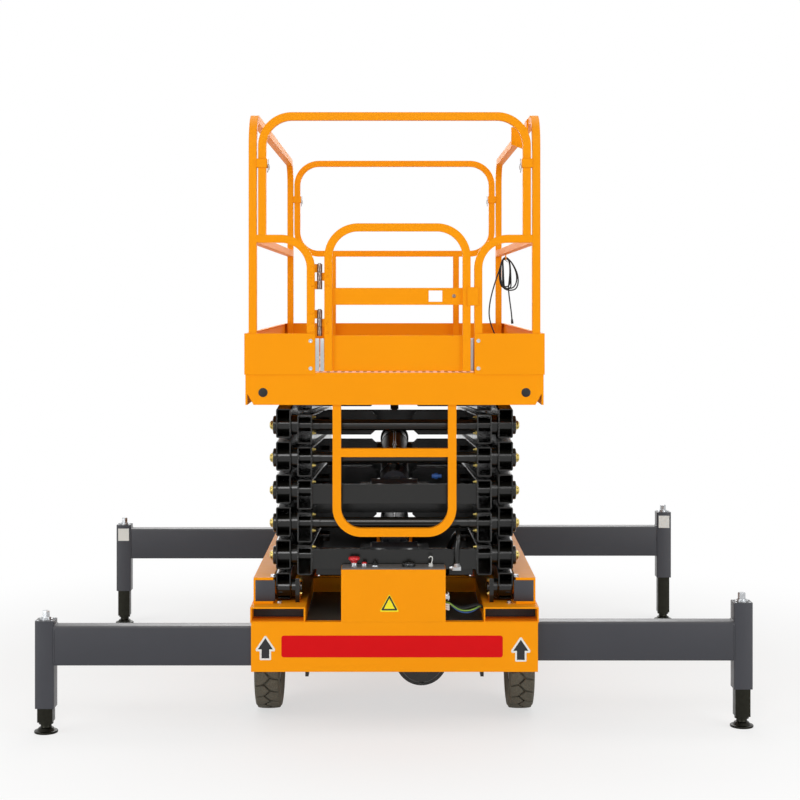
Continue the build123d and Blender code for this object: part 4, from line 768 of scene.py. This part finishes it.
# %% control panel
CABINET_TOP, CONTROL_Y = 667.0, -1167.5
STOP_X, LAMP_X, SWITCH_X, KEY_X, LEVER_X = -164, -123, -79, 58, 147
panel, collars, knobs, red_parts, lever = bmesh.new(), bmesh.new(), bmesh.new(), bmesh.new(), bmesh.new()
add_box(panel, (-213, 204), (-1223, -1112), (CABINET_TOP - 1, CABINET_TOP + 4), 1.2)
base = CABINET_TOP + 4
stop = Vector((STOP_X, CONTROL_Y, base))
add_turned(collars, stop, (0, 0, 1), ((0, 15), (2, 15), (3.5, 12), (16, 12)), 32)
MUSHROOM = ((15, 12), (20, 13), (26, 20), (28, 22.8), (34, 23.2), (38, 21), (40, 12), (40.3, 0))
add_turned(red_parts, stop, (0, 0, 1), MUSHROOM, 40)
lamp = Vector((LAMP_X, CONTROL_Y, base))
add_turned(collars, lamp, (0, 0, 1), ((0, 13), (2, 13), (3, 11.5), (12, 11.5)), 28)
add_turned(red_parts, lamp, (0, 0, 1), ((11, 10), (15, 10), (17.5, 7), (18, 0)), 28)
switch = Vector((SWITCH_X, CONTROL_Y, base))
add_turned(collars, switch, (0, 0, 1), ((0, 14.5), (1.5, 14.5), (3, 13.5), (5, 13.5)), 28)
add_turned(knobs, switch, (0, 0, 1), ((4, 10.5), (12, 10.5), (13, 9), (13, 0)), 28)
add_box(knobs, (-81.5, -76.5), (CONTROL_Y - 11, CONTROL_Y + 11), (base + 10, base + 21), 1.5)
key = Vector((KEY_X, CONTROL_Y, base))
add_turned(knobs, key, (0, 0, 1), ((0, 27), (7, 27), (9, 25), (9, 9), (15.5, 9), (17, 7.5), (17, 0)), 36)
add_turned(collars, key, (0, 0, 1), ((8, 24), (9.8, 24), (9.8, 20), (8, 20)), 36)
handle = Vector((LEVER_X, CONTROL_Y, base))
add_turned(lever, handle, (0, 0, 1), ((0, 10), (3, 10), (4, 8), (11, 8), (12.5, 6), (12.5, 0)), 24)
finish_piece("control_lid", panel, "chassis", lid_enamel)
switches = finish_piece("switch_collars", collars, "chassis", bright_zinc)
finish_piece("stop_and_lamp", red_parts, "chassis", red_abs)
finish_piece("switch_knobs", knobs, "chassis", black_abs)
finish_piece("lever_base", lever, "chassis", white_abs)
LEVER_BEND = ((149, 6), (151, 16), (154, 27), (154.5, 36), (149, 40.5), (143, 39), (139.5, 34))    # x, rise
drawn_wire("lever_wire", [[(x, CONTROL_Y, base + rise) for x, rise in LEVER_BEND]], 2.2, "chassis", white_abs)
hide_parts("control_knobs")

# %% [markdown]
# ## Latch, wires and painted shade
# The cabinet's side has a quarter-turn latch, and three power cables, an earth wire and a signal wire run from it
# into the chassis. The wires are fixed at both ends. A curve with a round section is the plain way to draw them,
# and one route serves the thin ones. A dark steel pan under the rails is painted shade: it stands for the shadow
# under the chassis, where the floor would show through. A dark rubber baffle inside each rail's end is painted
# shade too, for the dark inside of the open tube.

# %% box latch, harness and painted shade sheets
latch, tied, shade_pan, shade_baffles = (bmesh.new() for _ in range(4))
# painted shade: a dark sheet under the rails that stands for the shadow beneath the chassis
add_box(shade_pan, (-358, 358), (-1188, -530), (450, 453), 0)
add_turned(latch, (205, -1200, 556), (1, 0, 0), ((0, 15), (4, 15), (5, 12), (10, 12), (10, 7), (12, 6.5), (12, 0)), 28)
add_box(latch, (190, 222), (-1224.9, -1221), (548, 562), 1.5)
add_box(latch, (215, 220), (-1212, -1188), (540, 572), 2)
for z in (505, 514, 523):
    add_turned(tied, (205, -1196, z), (1, 0, -0.25), ((0, 4), (16, 4.4), (18, 3)), 14)
for side in (-1, 1):
    x = sorted((side * 367.0, side * 575.0))
    # painted shade: a dark sheet inside the rail's open end that stands for the shade inside the tube
    add_box(shade_baffles, x, (-1125, -1120), (459, 507), 0)
finish_piece("cabinet_latch", latch, "chassis", bright_zinc)
finish_piece("terminal_ends", tied, "chassis", white_abs)
finish_piece("painted_shade_pan", shade_pan, "chassis", axle_enamel)
finish_piece("rail_end_painted_shade", shade_baffles, "chassis", hose_rubber)
HARNESS = ((206, -1188, 530), (220, -1190, 528), (238, -1193, 514), (262, -1194, 499), (292, -1193, 494),
           (322, -1188, 500), (342, -1178, 510), (352, -1160, 506), (364, -1150, 498))
drawn_wire("earth_wire", [HARNESS], 3.0, "chassis", green_pvc)
SIGNAL_RUN = [(x, y + 9, z - 9 * sin(pi * n / 8)) for n, (x, y, z) in enumerate(HARNESS)]
drawn_wire("signal_wire", [SIGNAL_RUN], 2.6, "chassis", blue_pvc)
POWER_RUNS = [[(206, y, 520), (224, y, 519), (246, y - 6, 506), (272, y - 6, 500), (302, y, 504), (330, y + 6, 512),
               (350, y + 10, 508), (364, y + 12, 500)] for y in (-1172, -1158, -1144)]
drawn_wire("power_cables", POWER_RUNS, 5.0, "chassis", cable_pvc)

# %% [markdown]
# ## Battery box and power pack
# Both are folded steel boxes hung between the rails. A fitter sees two toggle latches on each side of the lid and a
# row of pressed louvres that lets heat out. Each is a small solid shape set on the box's own face, since paint alone
# would give a louvre no shadow.

# %% louvres and lid latches
BOX_RUNS, BOX_FACE_X = ((-465.0, -35.0), (35.0, 465.0)), 335.0
LOUVRES, LOUVRE_PITCH = 8, 34
louvres, toggles = bmesh.new(), bmesh.new()
for low_y, high_y in BOX_RUNS:
    for side in (-1, 1):
        for step in range(LOUVRES):
            y = low_y + 95 + step * LOUVRE_PITCH
            face = side * BOX_FACE_X
            x = sorted((face, face + side * 5))
            add_box(louvres, x, (y - 5, y + 5), (345, 425), 2.2)
        for y in (low_y + 45, high_y - 45):
            x = sorted((side * 334.0, side * 341.0))
            add_box(toggles, x, (y - 11, y + 11), (438, 492), 2)
            add_turned(toggles, (side * 339, y, 470), (side, 0, 0), ((0, 7), (5, 7), (6, 5)), 20)
finish_piece("box_louvres", louvres, "chassis", orange_powder_coat)
finish_piece("lid_toggles", toggles, "chassis", bright_zinc)

# %% [markdown]
# ## Hydraulic line and fittings on the arms
# The lower cylinder is fed by a painted steel pipe. It rises from a zinc fitting on the first end beam, bends
# back under the next cross tube and ends in the beam that holds the cylinder's foot. A pipe is bent cold over a
# former, so each bend is a plain arc of about three diameters. The second cylinder's feed has a blue test port.

# %% feed pipe, its fitting and the test port
FEED_PIPE = (
    (254, -1128, 672), (254, -1129, 716), (257, -1130, 752), (260, -1129, 778), (262, -1114, 795), (261, -1086, 797),
    (256, -1040, 786), (244, -980, 756), (228, -920, 706), (222, -872, 640), (222, -858, 610), (222, -850, 585),
)
fitting, blue_fitting = bmesh.new(), bmesh.new()
add_box(fitting, (236, 272), (-1128, -1096), (646, 664), 2)
add_turned(fitting, (254, -1128, 662), (0, 0, 1), ((0, 15), (9, 15), (10, 13), (14, 13)), 6)
add_turned(fitting, (236, -1114, 655), (-1, 0, 0), ((0, 9), (6, 9), (6, 6), (11, 6)), 6)
finish_piece("feed_fitting", fitting, "inner_arm_1", bright_zinc)
drawn_wire("feed_pipe", [FEED_PIPE], 11.0, "inner_arm_1", black_enamel)
add_turned(blue_fitting, (155, -1022, 1022), (1, 0, 0), ((0, 9), (10, 9), (11, 12), (24, 12), (25, 8), (40, 8)), 20)
finish_piece("blue_test_port", blue_fitting, "inner_arm_3", blue_pvc)

# %% [markdown]
# ## Platform fittings
# Small parts that a hand meets on the basket: black plugs in the end plates, silver screws in the wing posts, painted
# screws in the hinges' leaves, steel sleeves that show the gate's hinge pins, and zinc strips beside the gate. Each
# is a short turned shape or a thin box, set from the rail that it sits on. What swings with the gate is a mesh of
# its own, so the strip on the hinge side is in two, one half to each side of the hinge line.

# %% end plugs, screws and hinge sleeves
END_PLUG = ((-3, 13), (0, 15.7), (8, 15.7), (8, 18.5), (9.5, 18), (10.8, 14), (11.3, 0))
plugs = bmesh.new()
for end in (-1, 1):
    for x in (-530, 530):
        add_turned(plugs, (x, end * 1213, 1380), (0, end, 0), END_PLUG, 36)
finish_piece("end_plate_plugs", plugs, "platform", black_abs)


def add_button_screw(mesh, place, axis, radius, height=3.4):
    """A round-headed screw with a hexagon socket."""
    add_turned(mesh, place, axis, ((0, radius), (height * 0.3, radius), (height * 0.75, radius * 0.75),
                                   (height, radius * 0.42)), 24)
    add_turned(mesh, Vector(place) + Vector(axis) * height * 0.3, axis,
               ((height * 0.72, radius * 0.36), (height * 0.74, 0)), 6)


POST_SCREW = ((-2, 8), (0.15, 8), (0.4, 7), (0.45, 4.2), (0.1, 3.6))
screws, sleeves, gate_sleeves, gate_screws, gate_bolt, leaf_screws = (bmesh.new() for _ in range(6))
for end, face_y in ((-1, -1225), (1, 1224.5)):
    for x in (-338, 338):
        for z in (1588, 1477):
            add_turned(screws, (x, face_y, z), (0, end, 0), POST_SCREW, 28)
HINGE_X, HINGE_Y = -302.5, -1205
HINGES = ((1608, 1713), (1796, 1898))     # foot and top of each
for low, high in HINGES:
    third = (high - low) / 3
    for bottom, top in ((low, low + third), (high - third, high)):
        add_turned(sleeves, (HINGE_X, HINGE_Y, bottom), (0, 0, 1),
                   ((0, 10.3), (0.8, 10.8), (top - bottom - 0.8, 10.8), (top - bottom, 10.3)), 32)
    add_turned(sleeves, (HINGE_X, HINGE_Y, high), (0, 0, 1), ((0, 7), (2.5, 6.5), (4, 4), (4.2, 0)), 24)
    add_turned(gate_sleeves, (HINGE_X, HINGE_Y, low + third + 0.7), (0, 0, 1),
               ((0, 10.3), (0.8, 10.8), (third - 2.2, 10.8), (third - 1.4, 10.3)), 32)
    for z in (low + 14, (low + high) / 2, high - 14):
        add_button_screw(leaf_screws, (-331, -1221, z), (0, -1, 0), 5.0, 2.6)
        add_button_screw(gate_screws, (-271, -1221, z), (0, -1, 0), 5.0, 2.6)
add_button_screw(gate_bolt, (240, -1208, 1769), (0, -1, 0), 7.5)
finish_piece("post_screws", screws, "platform", bright_zinc)
finish_piece("hinge_sleeves", sleeves, "platform", hinge_steel)
finish_piece("gate_hinge_sleeves", gate_sleeves, "gate", hinge_steel)
finish_piece("gate_screws", gate_screws, "gate", orange_powder_coat)
finish_piece("hinge_leaf_screws", leaf_screws, "platform", orange_powder_coat)
finish_piece("gate_bolt", gate_bolt, "gate", hinge_steel)
STRIP_Z = (1466, 1598)
strips, gate_strip = bmesh.new(), bmesh.new()
add_box(strips, (-320, -303), (-1223, -1221), STRIP_Z, 0.5)
add_box(strips, (305, 324), (-1184, -1181), STRIP_Z, 0.5)
add_box(gate_strip, (-299, -284), (-1223, -1221), STRIP_Z, 0.5)
finish_piece("gate_post_strips", strips, "platform", bright_zinc)
finish_piece("gate_edge_strip", gate_strip, "gate", bright_zinc)

# %% [markdown]
# ## Hairpin clips
# The end rails lift out of their sleeves, and a sprung wire clip through each sleeve holds them. A clip is one bent
# wire with a pull ring. Its places are given outwards, lengthwise and up from where it enters the sleeve, so the
# same list serves all four, left and right, near and far.

# %% hairpin clips
RAIL_END_Y, CLIP_X = 1205.0, 514.0
CLIP_WIRE = (  # out, lengthwise, up
    (14, 0, 0), (-1, 0, 0), (-6, 0, -2), (-9, -4, -12), (-7, -8, -25), (-3, -8, -27), (-1, -5, -14), (-4, -2, -4),
    (-5, -1, 8), (-6, 0, 19),
)
lines = []
for end, z in ((-1, 2305.0), (1, 2297.0)):
    for side in (-1, 1):
        x, y = side * CLIP_X, end * RAIL_END_Y
        lines.append([(x + side * out, y + end * length, z + up) for out, length, up in CLIP_WIRE])
        ring = []
        for step in range(13):
            angle = tau * step / 12 + 0.4
            ring.append((x - side * 3 + 2 * sin(angle), y - end * 2 + 12 * cos(angle), z - 24 + 13 * sin(angle)))
        lines.append(ring)
drawn_wire("hairpin_clips", lines, 1.7, "platform", bright_zinc)

# %% [markdown]
# ## Deck tread
# The deck is chequer plate: rolled steel with small raised bars that lie alternately left and right, 30 mm apart
# and 1.3 mm high. Bump would vanish in a low side view, and a real bar catches the light along its top, so each
# bar is a small hipped lens and one mesh holds them all.

# %% chequer plate
DECK_TOP, BAR_PITCH, BAR_LENGTH, BAR_WIDTH, BAR_HEIGHT = 1460.0, 30.0, 25.0, 8.0, 1.3
ROWS, COLUMNS = 80, 39
BAR_OUTLINE = ((-1, 0), (-0.45, -0.85), (0.45, -0.85), (1, 0), (0.45, 0.85), (-0.45, 0.85))   # in half lengths, widths


def bar_corner(mesh, x, y, turn, px, py, z):
    """A corner of a bar that is turned about its middle at x, y."""
    return mesh.verts.new((x + px * cos(turn) - py * sin(turn), y + px * sin(turn) + py * cos(turn), z))


tread = bmesh.new()
for row in range(ROWS):
    for column in range(COLUMNS):
        x = (column - (COLUMNS - 1) / 2) * BAR_PITCH
        y = (row - (ROWS - 1) / 2) * BAR_PITCH
        turn = radians(45 if (row + column) % 2 else -45)
        base, ridge = [], []
        for along, across in BAR_OUTLINE:
            px, py = along * BAR_LENGTH / 2, across * BAR_WIDTH / 2
            base.append(bar_corner(tread, x, y, turn, px, py, DECK_TOP))
            ridge.append(bar_corner(tread, x, y, turn, px * 0.72, py * 0.5, DECK_TOP + BAR_HEIGHT))
        tread.faces.new(ridge)
        for n in range(6):
            tread.faces.new((base[n], base[(n + 1) % 6], ridge[(n + 1) % 6], ridge[n]))
finish_piece("deck_tread", tread, "platform", deck_paint, smooth=20)

# %% [markdown]
# ## Outriggers
# Each outrigger is a rectangular tube with a square leg welded to its end and a smaller jack tube inside the leg.
# Drawn tube has rounded corners, which catch a line of light that a sharp box would not, so the tubes are redrawn
# from a rounded outline with a real wall and an open lower end. An outline extruded twice, outside and inside, gives
# that wall, where a bevelled box would be solid.

# %% drawn tube
def add_tube(mesh, axis, run, across, up, wall, corner, closed=()):
    """A drawn tube along x or z with round corners. Its ends are open unless their places are in closed."""
    def ring(place, inset):
        a, b = (across[0] + inset, across[1] - inset), (up[0] + inset, up[1] - inset)
        points = rounded_outline(a, b, max(1.0, corner - inset), 4)
        return [mesh.verts.new((place, p, q) if axis == "x" else (p, q, place)) for p, q in points]

    rings = [ring(run[0], wall), ring(run[0], 0), ring(run[1], 0), ring(run[1], wall)]
    count = len(rings[0])
    for one, two in zip(rings, rings[1:] + rings[:1]):
        for n in range(count):
            mesh.faces.new((one[n], one[(n + 1) % count], two[(n + 1) % count], two[n]))
    for end in closed:
        mesh.faces.new(ring(run[end] + (-0.01 if end else 0.01), 0))


# %% [markdown]
# ## Legs, welds, screw heads and feet
# A weld bead runs round the joint of beam and leg. The leg carries a zinc hexagon head that a crank turns, the jack a
# swivel foot, and the far legs a blank plate. The four outriggers differ only in where they stand and how high the
# beam meets the leg, so one loop makes them all from a short table.

# %% outriggers
OUTRIGGERS = (  # name, leg's middle x, which way its slimmer tube stands in the solid
    ("near_left", -1420.0, 7), ("near_right", 1420.0, 7), ("far_left", -1465.0, 7), ("far_right", 1465.0, 0),
)
LEG_HALF, JACK_HALF, TUBE_WALL = 38.5, 31.0, 5.0
LEG_LENGTH, BEAM_HEIGHT, BEAM_HALF = 354, 160, 40
BEAM_BELOW_TOP = {"near_left": 20, "near_right": 77, "far_left": 20, "far_right": 77}    # from the leg's top
WELD = (  # round the beam's end: lengthwise, then up from the beam's top
    (-39, -150), (-39.5, -80), (-39, -8), (-34, 0.5), (0, 0.5), (34, 0.5), (39, -8), (39.5, -80), (39, -150),
)
SCREW_COLLAR = ((0, 26), (4, 26), (5, 22), (9, 22), (9, 19), (11, 19))
SCREW_HEAD = ((0, 15.6), (25.5, 15.6), (27.8, 13.5), (27.9, 0))
SWIVEL_FOOT = ((0, 46.5), (1, 47.8), (7, 47.8), (8.5, 46.5), (9, 40), (11, 36), (20, 30), (22, 25), (24, 23), (30, 22),
               (34, 22), (36, 25), (36, 29.5), (46.2, 29.5))
for name, solid_x, lean in OUTRIGGERS:
    side = -1 if "left" in name else 1
    leg_x = solid_x + lean
    low, high = (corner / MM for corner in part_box(f"outrigger_beam_{name}"))
    y, top = (low.y + high.y) / 2, high.z - 37
    beam_top = top - BEAM_BELOW_TOP[name]
    tubes, heads, jack, foot, plate = (bmesh.new() for _ in range(5))
    run = sorted((side * 250.0, leg_x - side * (LEG_HALF - 1)))
    add_tube(tubes, "x", run, (y - BEAM_HALF, y + BEAM_HALF), (beam_top - BEAM_HEIGHT, beam_top), 6, 9)
    bottom = top - LEG_LENGTH
    add_tube(tubes, "z", (bottom, top), (leg_x - LEG_HALF, leg_x + LEG_HALF), (y - LEG_HALF, y + LEG_HALF),
             TUBE_WALL, 5, closed=(1,))
    redrawn = finish_piece(f"beam_and_leg_{name}", tubes, f"outrigger_{name}", grey_enamel)
    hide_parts(f"outrigger_beam_{name}")
    bead = leg_x - side * (LEG_HALF + 1)
    drawn_wire(f"leg_weld_{name}", [[(bead, y + along, beam_top + rise) for along, rise in WELD]], 3.2,
               f"outrigger_{name}", grey_enamel)
    add_turned(heads, (leg_x, y, top), (0, 0, 1), SCREW_COLLAR, 32)
    add_turned(heads, (leg_x, y, top + 9), (0, 0, 1), SCREW_HEAD, 6)
    for across in (-29, 29):
        for along in (-29, 29):
            add_button_screw(heads, (leg_x + across, y + along, top), (0, 0, 1), 4.5)
    finish_piece(f"screw_head_{name}", heads, f"outrigger_{name}", bright_zinc)
    add_tube(jack, "z", (46, bottom + 150), (leg_x - JACK_HALF, leg_x + JACK_HALF), (y - JACK_HALF, y + JACK_HALF),
             TUBE_WALL, 4, closed=(0, 1))
    add_turned(foot, (leg_x, y, 0), (0, 0, 1), SWIVEL_FOOT, 44)
    stand = finish_piece(f"jack_tube_{name}", jack, f"jack_{name}", oiled_steel)
    finish_piece(f"swivel_foot_{name}", foot, f"jack_{name}", oiled_steel)
    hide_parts(f"jack_leg_{name}")
    if "far" in name:
        face = y - LEG_HALF - 0.3
        add_plate(plate, [(leg_x - 29, face, top - 84), (leg_x - 29, face, top - 18), (leg_x + 29, face, top - 18),
                          (leg_x + 29, face, top - 84)], (0, 0.35, 0))
        finish_piece(f"blank_label_{name}", plate, f"outrigger_{name}", white_film)
    else:
        plate.free()

# %% [markdown]
# ## Far end
# The machine is towed from the far end. The pin of the drawbar's hinge has a head at each end, the two upright king
# pins of the steered wheels are held by nuts with grease nipples, and a towed machine carries round red reflectors
# on its last plate. A reflector is a domed acrylic lens in a black rim, so both are turned, one set in the other.

# %% hitch pin, king pin nuts and reflectors
hitch, nipples, rims, lenses = (bmesh.new() for _ in range(4))
plate_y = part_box("far_bumper")[1].y / MM - 39.0
KING_PIN_X, KING_PIN_Y, REFLECTOR_X, REFLECTOR_Z = 430, 700, 505, 437
for side in (-1, 1):
    add_turned(hitch, (side * 34.5, plate_y + 20, 370), (side, 0, 0), ((0, 13), (4, 13), (5.5, 11)), 24)
    king_pin_x, reflector_x = side * KING_PIN_X, side * REFLECTOR_X
    add_turned(nipples, (king_pin_x, KING_PIN_Y, 262), (0, 0, 1), ((-1, 24), (3, 24), (3, 20), (15, 20), (17, 17)), 6)
    add_turned(nipples, (king_pin_x, KING_PIN_Y, 279), (0, 0, 1),
               ((-1, 5), (6, 5), (7, 3), (11, 4), (13, 2), (13, 0)), 16)
    add_turned(rims, (reflector_x, plate_y, REFLECTOR_Z), (0, 1, 0),
               ((0, 36), (5, 36), (6.5, 34.5), (6.5, 30), (4, 30)), 48)
    add_turned(lenses, (reflector_x, plate_y + 3, REFLECTOR_Z), (0, 1, 0),
               ((0, 30), (1.5, 30), (3.5, 24), (4.5, 12), (4.8, 0)), 48)
finish_piece("hitch_pin_ends", hitch, "chassis", bright_zinc)
finish_piece("king_pin_nuts", nipples, "chassis", yellow_zinc)
finish_piece("reflector_rims", rims, "chassis", black_abs)
finish_piece("reflector_lenses", lenses, "chassis", red_lens)

# %% [markdown]
# ## Drive axle fittings
# The gear case is a rough casting closed by a ring of bolts, with a drain plug below and a motor behind that has a
# cable box and cooling ribs. The ribs could be ripples in the motor's tube, but as separate rings they keep its
# solid as it is.

# %% gear case bolts, plug and motor ribs
CASE = Vector((115.0, -765.0, 215.0))     # the middle of the gear case
BOLT_RINGS = ((10, 0.5, 103, -46), (6, 0, 48, -118))    # bolts, first one's share of a step, radius, place along y
MOTOR_RIBS, RIB_PITCH = 9, 16
case_bolts, ribs = bmesh.new(), bmesh.new()
for count, first, radius, along in BOLT_RINGS:
    for step in range(count):
        angle = tau * (step + first) / count
        place = CASE + Vector((cos(angle) * radius, along, sin(angle) * radius))
        add_bolt(case_bolts, place, (0, -1, 0), 8.0, washer=False)
add_turned(case_bolts, CASE + Vector((0, -70, -92)), (0, 0, -1), ((0, 12), (6, 12), (6, 8), (12, 8)), 6)
add_turned(ribs, CASE + Vector((0, -118, 0)), (0, -1, 0), ((-0.5, 34), (2, 33), (4, 26), (4.5, 0)), 40)
for step in range(MOTOR_RIBS):
    rib = CASE + Vector((0, 146 + step * RIB_PITCH, 0))
    add_turned(ribs, rib, (0, 1, 0), ((0, 72), (1, 76), (5, 76), (6, 72)), 48)
add_box(ribs, (CASE.x - 34, CASE.x + 34), (CASE.y + 150, CASE.y + 250), (CASE.z + 68, CASE.z + 96), 4)
finish_piece("gear_case_bolts", case_bolts, "chassis", axle_enamel)
finish_piece("motor_ribs", ribs, "chassis", axle_enamel)

# %% [markdown]
# ## Floor and light
# The floor is plain and pale, and the space round it is white to the eye and to reflections. A very large floor lit
# by lamps would grey with distance, so away from the machine the floor turns to an even glow, which only the eye and
# reflections find. Near the machine it keeps the shadow.

# %% floor
def background_rays(material, path):
    """1 for the rays that find the plain background: the eye's, a reflection's and what glass lets through."""
    eye = add_node(material, "ShaderNodeMath", {0: path.outputs["Is Camera Ray"], 1: path.outputs["Is Glossy Ray"]},
                   operation="MAXIMUM")
    return add_node(material, "ShaderNodeMath", {0: eye.outputs[0], 1: path.outputs["Is Transmission Ray"]},
                    operation="MAXIMUM").outputs[0]


FLOOR_REACH = 30.0                    # metres from the middle to each edge
SHADOW_REACH, GLOW_REACH = 1.3, 3.4   # metres from the middle: the shadow fades out between these
floor_mesh = bpy.data.meshes.new("floor")
corners = [(x * FLOOR_REACH, y * FLOOR_REACH, 0) for x, y in ((-1, -1), (1, -1), (1, 1), (-1, 1))]
floor_mesh.from_pydata(corners, [], [(0, 1, 2, 3)])
floor = bpy.data.objects.new("floor", floor_mesh)
bpy.context.scene.collection.objects.link(floor)
floor_paint = bpy.data.materials.new("pale_floor")
floor_paint.use_nodes = True
floor_paint.node_tree.nodes.clear()
shade = add_node(floor_paint, "ShaderNodeBsdfPrincipled", {"Base Color": linear("#EDEDEB"), "Roughness": 0.9})
glow = add_node(floor_paint, "ShaderNodeEmission", {"Color": linear("#FFFFFF"), "Strength": 1.0})
seen = add_node(floor_paint, "ShaderNodeLightPath")
spot = add_node(floor_paint, "ShaderNodeTexCoord").outputs["Object"]
reach = add_node(floor_paint, "ShaderNodeVectorMath", {0: spot}, operation="LENGTH").outputs["Value"]
fading = add_node(floor_paint, "ShaderNodeMapRange", {"Value": reach, "From Min": SHADOW_REACH, "From Max": GLOW_REACH,
                                                      "To Min": 0.62, "To Max": 1.0}, interpolation_type="SMOOTHSTEP")
direct = add_node(floor_paint, "ShaderNodeMath", {0: background_rays(floor_paint, seen), 1: fading.outputs["Result"]},
                  operation="MULTIPLY")
mixed = add_node(floor_paint, "ShaderNodeMixShader", {0: direct.outputs[0], 1: shade.outputs["BSDF"],
                                                      2: glow.outputs[0]})
add_node(floor_paint, "ShaderNodeOutputMaterial", {"Surface": mixed.outputs[0]})
floor_mesh.materials.append(floor_paint)
print("floor", 2 * FLOOR_REACH, "m across")

# %% [markdown]
# ## Light
# The object is lit evenly: a soft lamp above and in front, which also draws the bright line along each black tube,
# two lamps at each side, one overhead and one behind, at a level where a colour looks as it is written. One strong
# lamp would be simpler, and would leave the stack of arms black on its far side.

# %% world and lamps
world = bpy.data.worlds.new("studio")
world.use_nodes = True
world.node_tree.nodes.clear()
bpy.context.scene.world = world
ambient = add_node(world, "ShaderNodeBackground", {"Color": linear("#F4F6F8"), "Strength": 0.33})
backdrop = add_node(world, "ShaderNodeBackground", {"Color": linear("#FFFFFF"), "Strength": 1.0})
rays = add_node(world, "ShaderNodeLightPath")
white = add_node(world, "ShaderNodeMixShader", {0: background_rays(world, rays), 1: ambient.outputs[0],
                                                2: backdrop.outputs[0]})
add_node(world, "ShaderNodeOutputWorld", {"Surface": white.outputs[0]})

LAMPS = (  # name, place, aimed at, width and height in metres, watts
    ("key", (-0.4, -6.8, 5.2), (0, -1.0, 0.9), 2.2, 2.3, 115),
    ("high_right", (4.6, -2.6, 4.0), (0, 0, 0.9), 3.0, 3.0, 60),
    ("high_left", (-4.6, -2.6, 4.0), (0, 0, 0.9), 3.0, 3.0, 60),
    ("low_right", (4.6, -5.4, 0.8), (0, -1.0, 0.7), 2.4, 1.4, 84),
    ("low_left", (-4.6, -5.4, 0.8), (0, -1.0, 0.7), 2.4, 1.4, 84),
    ("top", (0.0, 0.5, 6.5), (0, 0, 1.0), 5.0, 4.0, 120),
    ("back", (0.0, 7.0, 3.6), (0, 0, 1.2), 5.0, 3.0, 130),
)
for name, place, target, width, height, watts in LAMPS:
    lamp_data = bpy.data.lights.new(name, "AREA")
    lamp_data.shape, lamp_data.size, lamp_data.size_y, lamp_data.energy = "RECTANGLE", width, height, watts
    lamp_object = bpy.data.objects.new(name, lamp_data)
    lamp_object.location = place
    lamp_object.rotation_euler = (Vector(target) - Vector(place)).to_track_quat("-Z", "Y").to_euler()
    bpy.context.scene.collection.objects.link(lamp_object)
print("lamps", len(LAMPS))

# %% [markdown]
# ## Finish
# Colours are shown as they are, with no film look.

# %% finish
bpy.context.scene.view_settings.view_transform = "Standard"
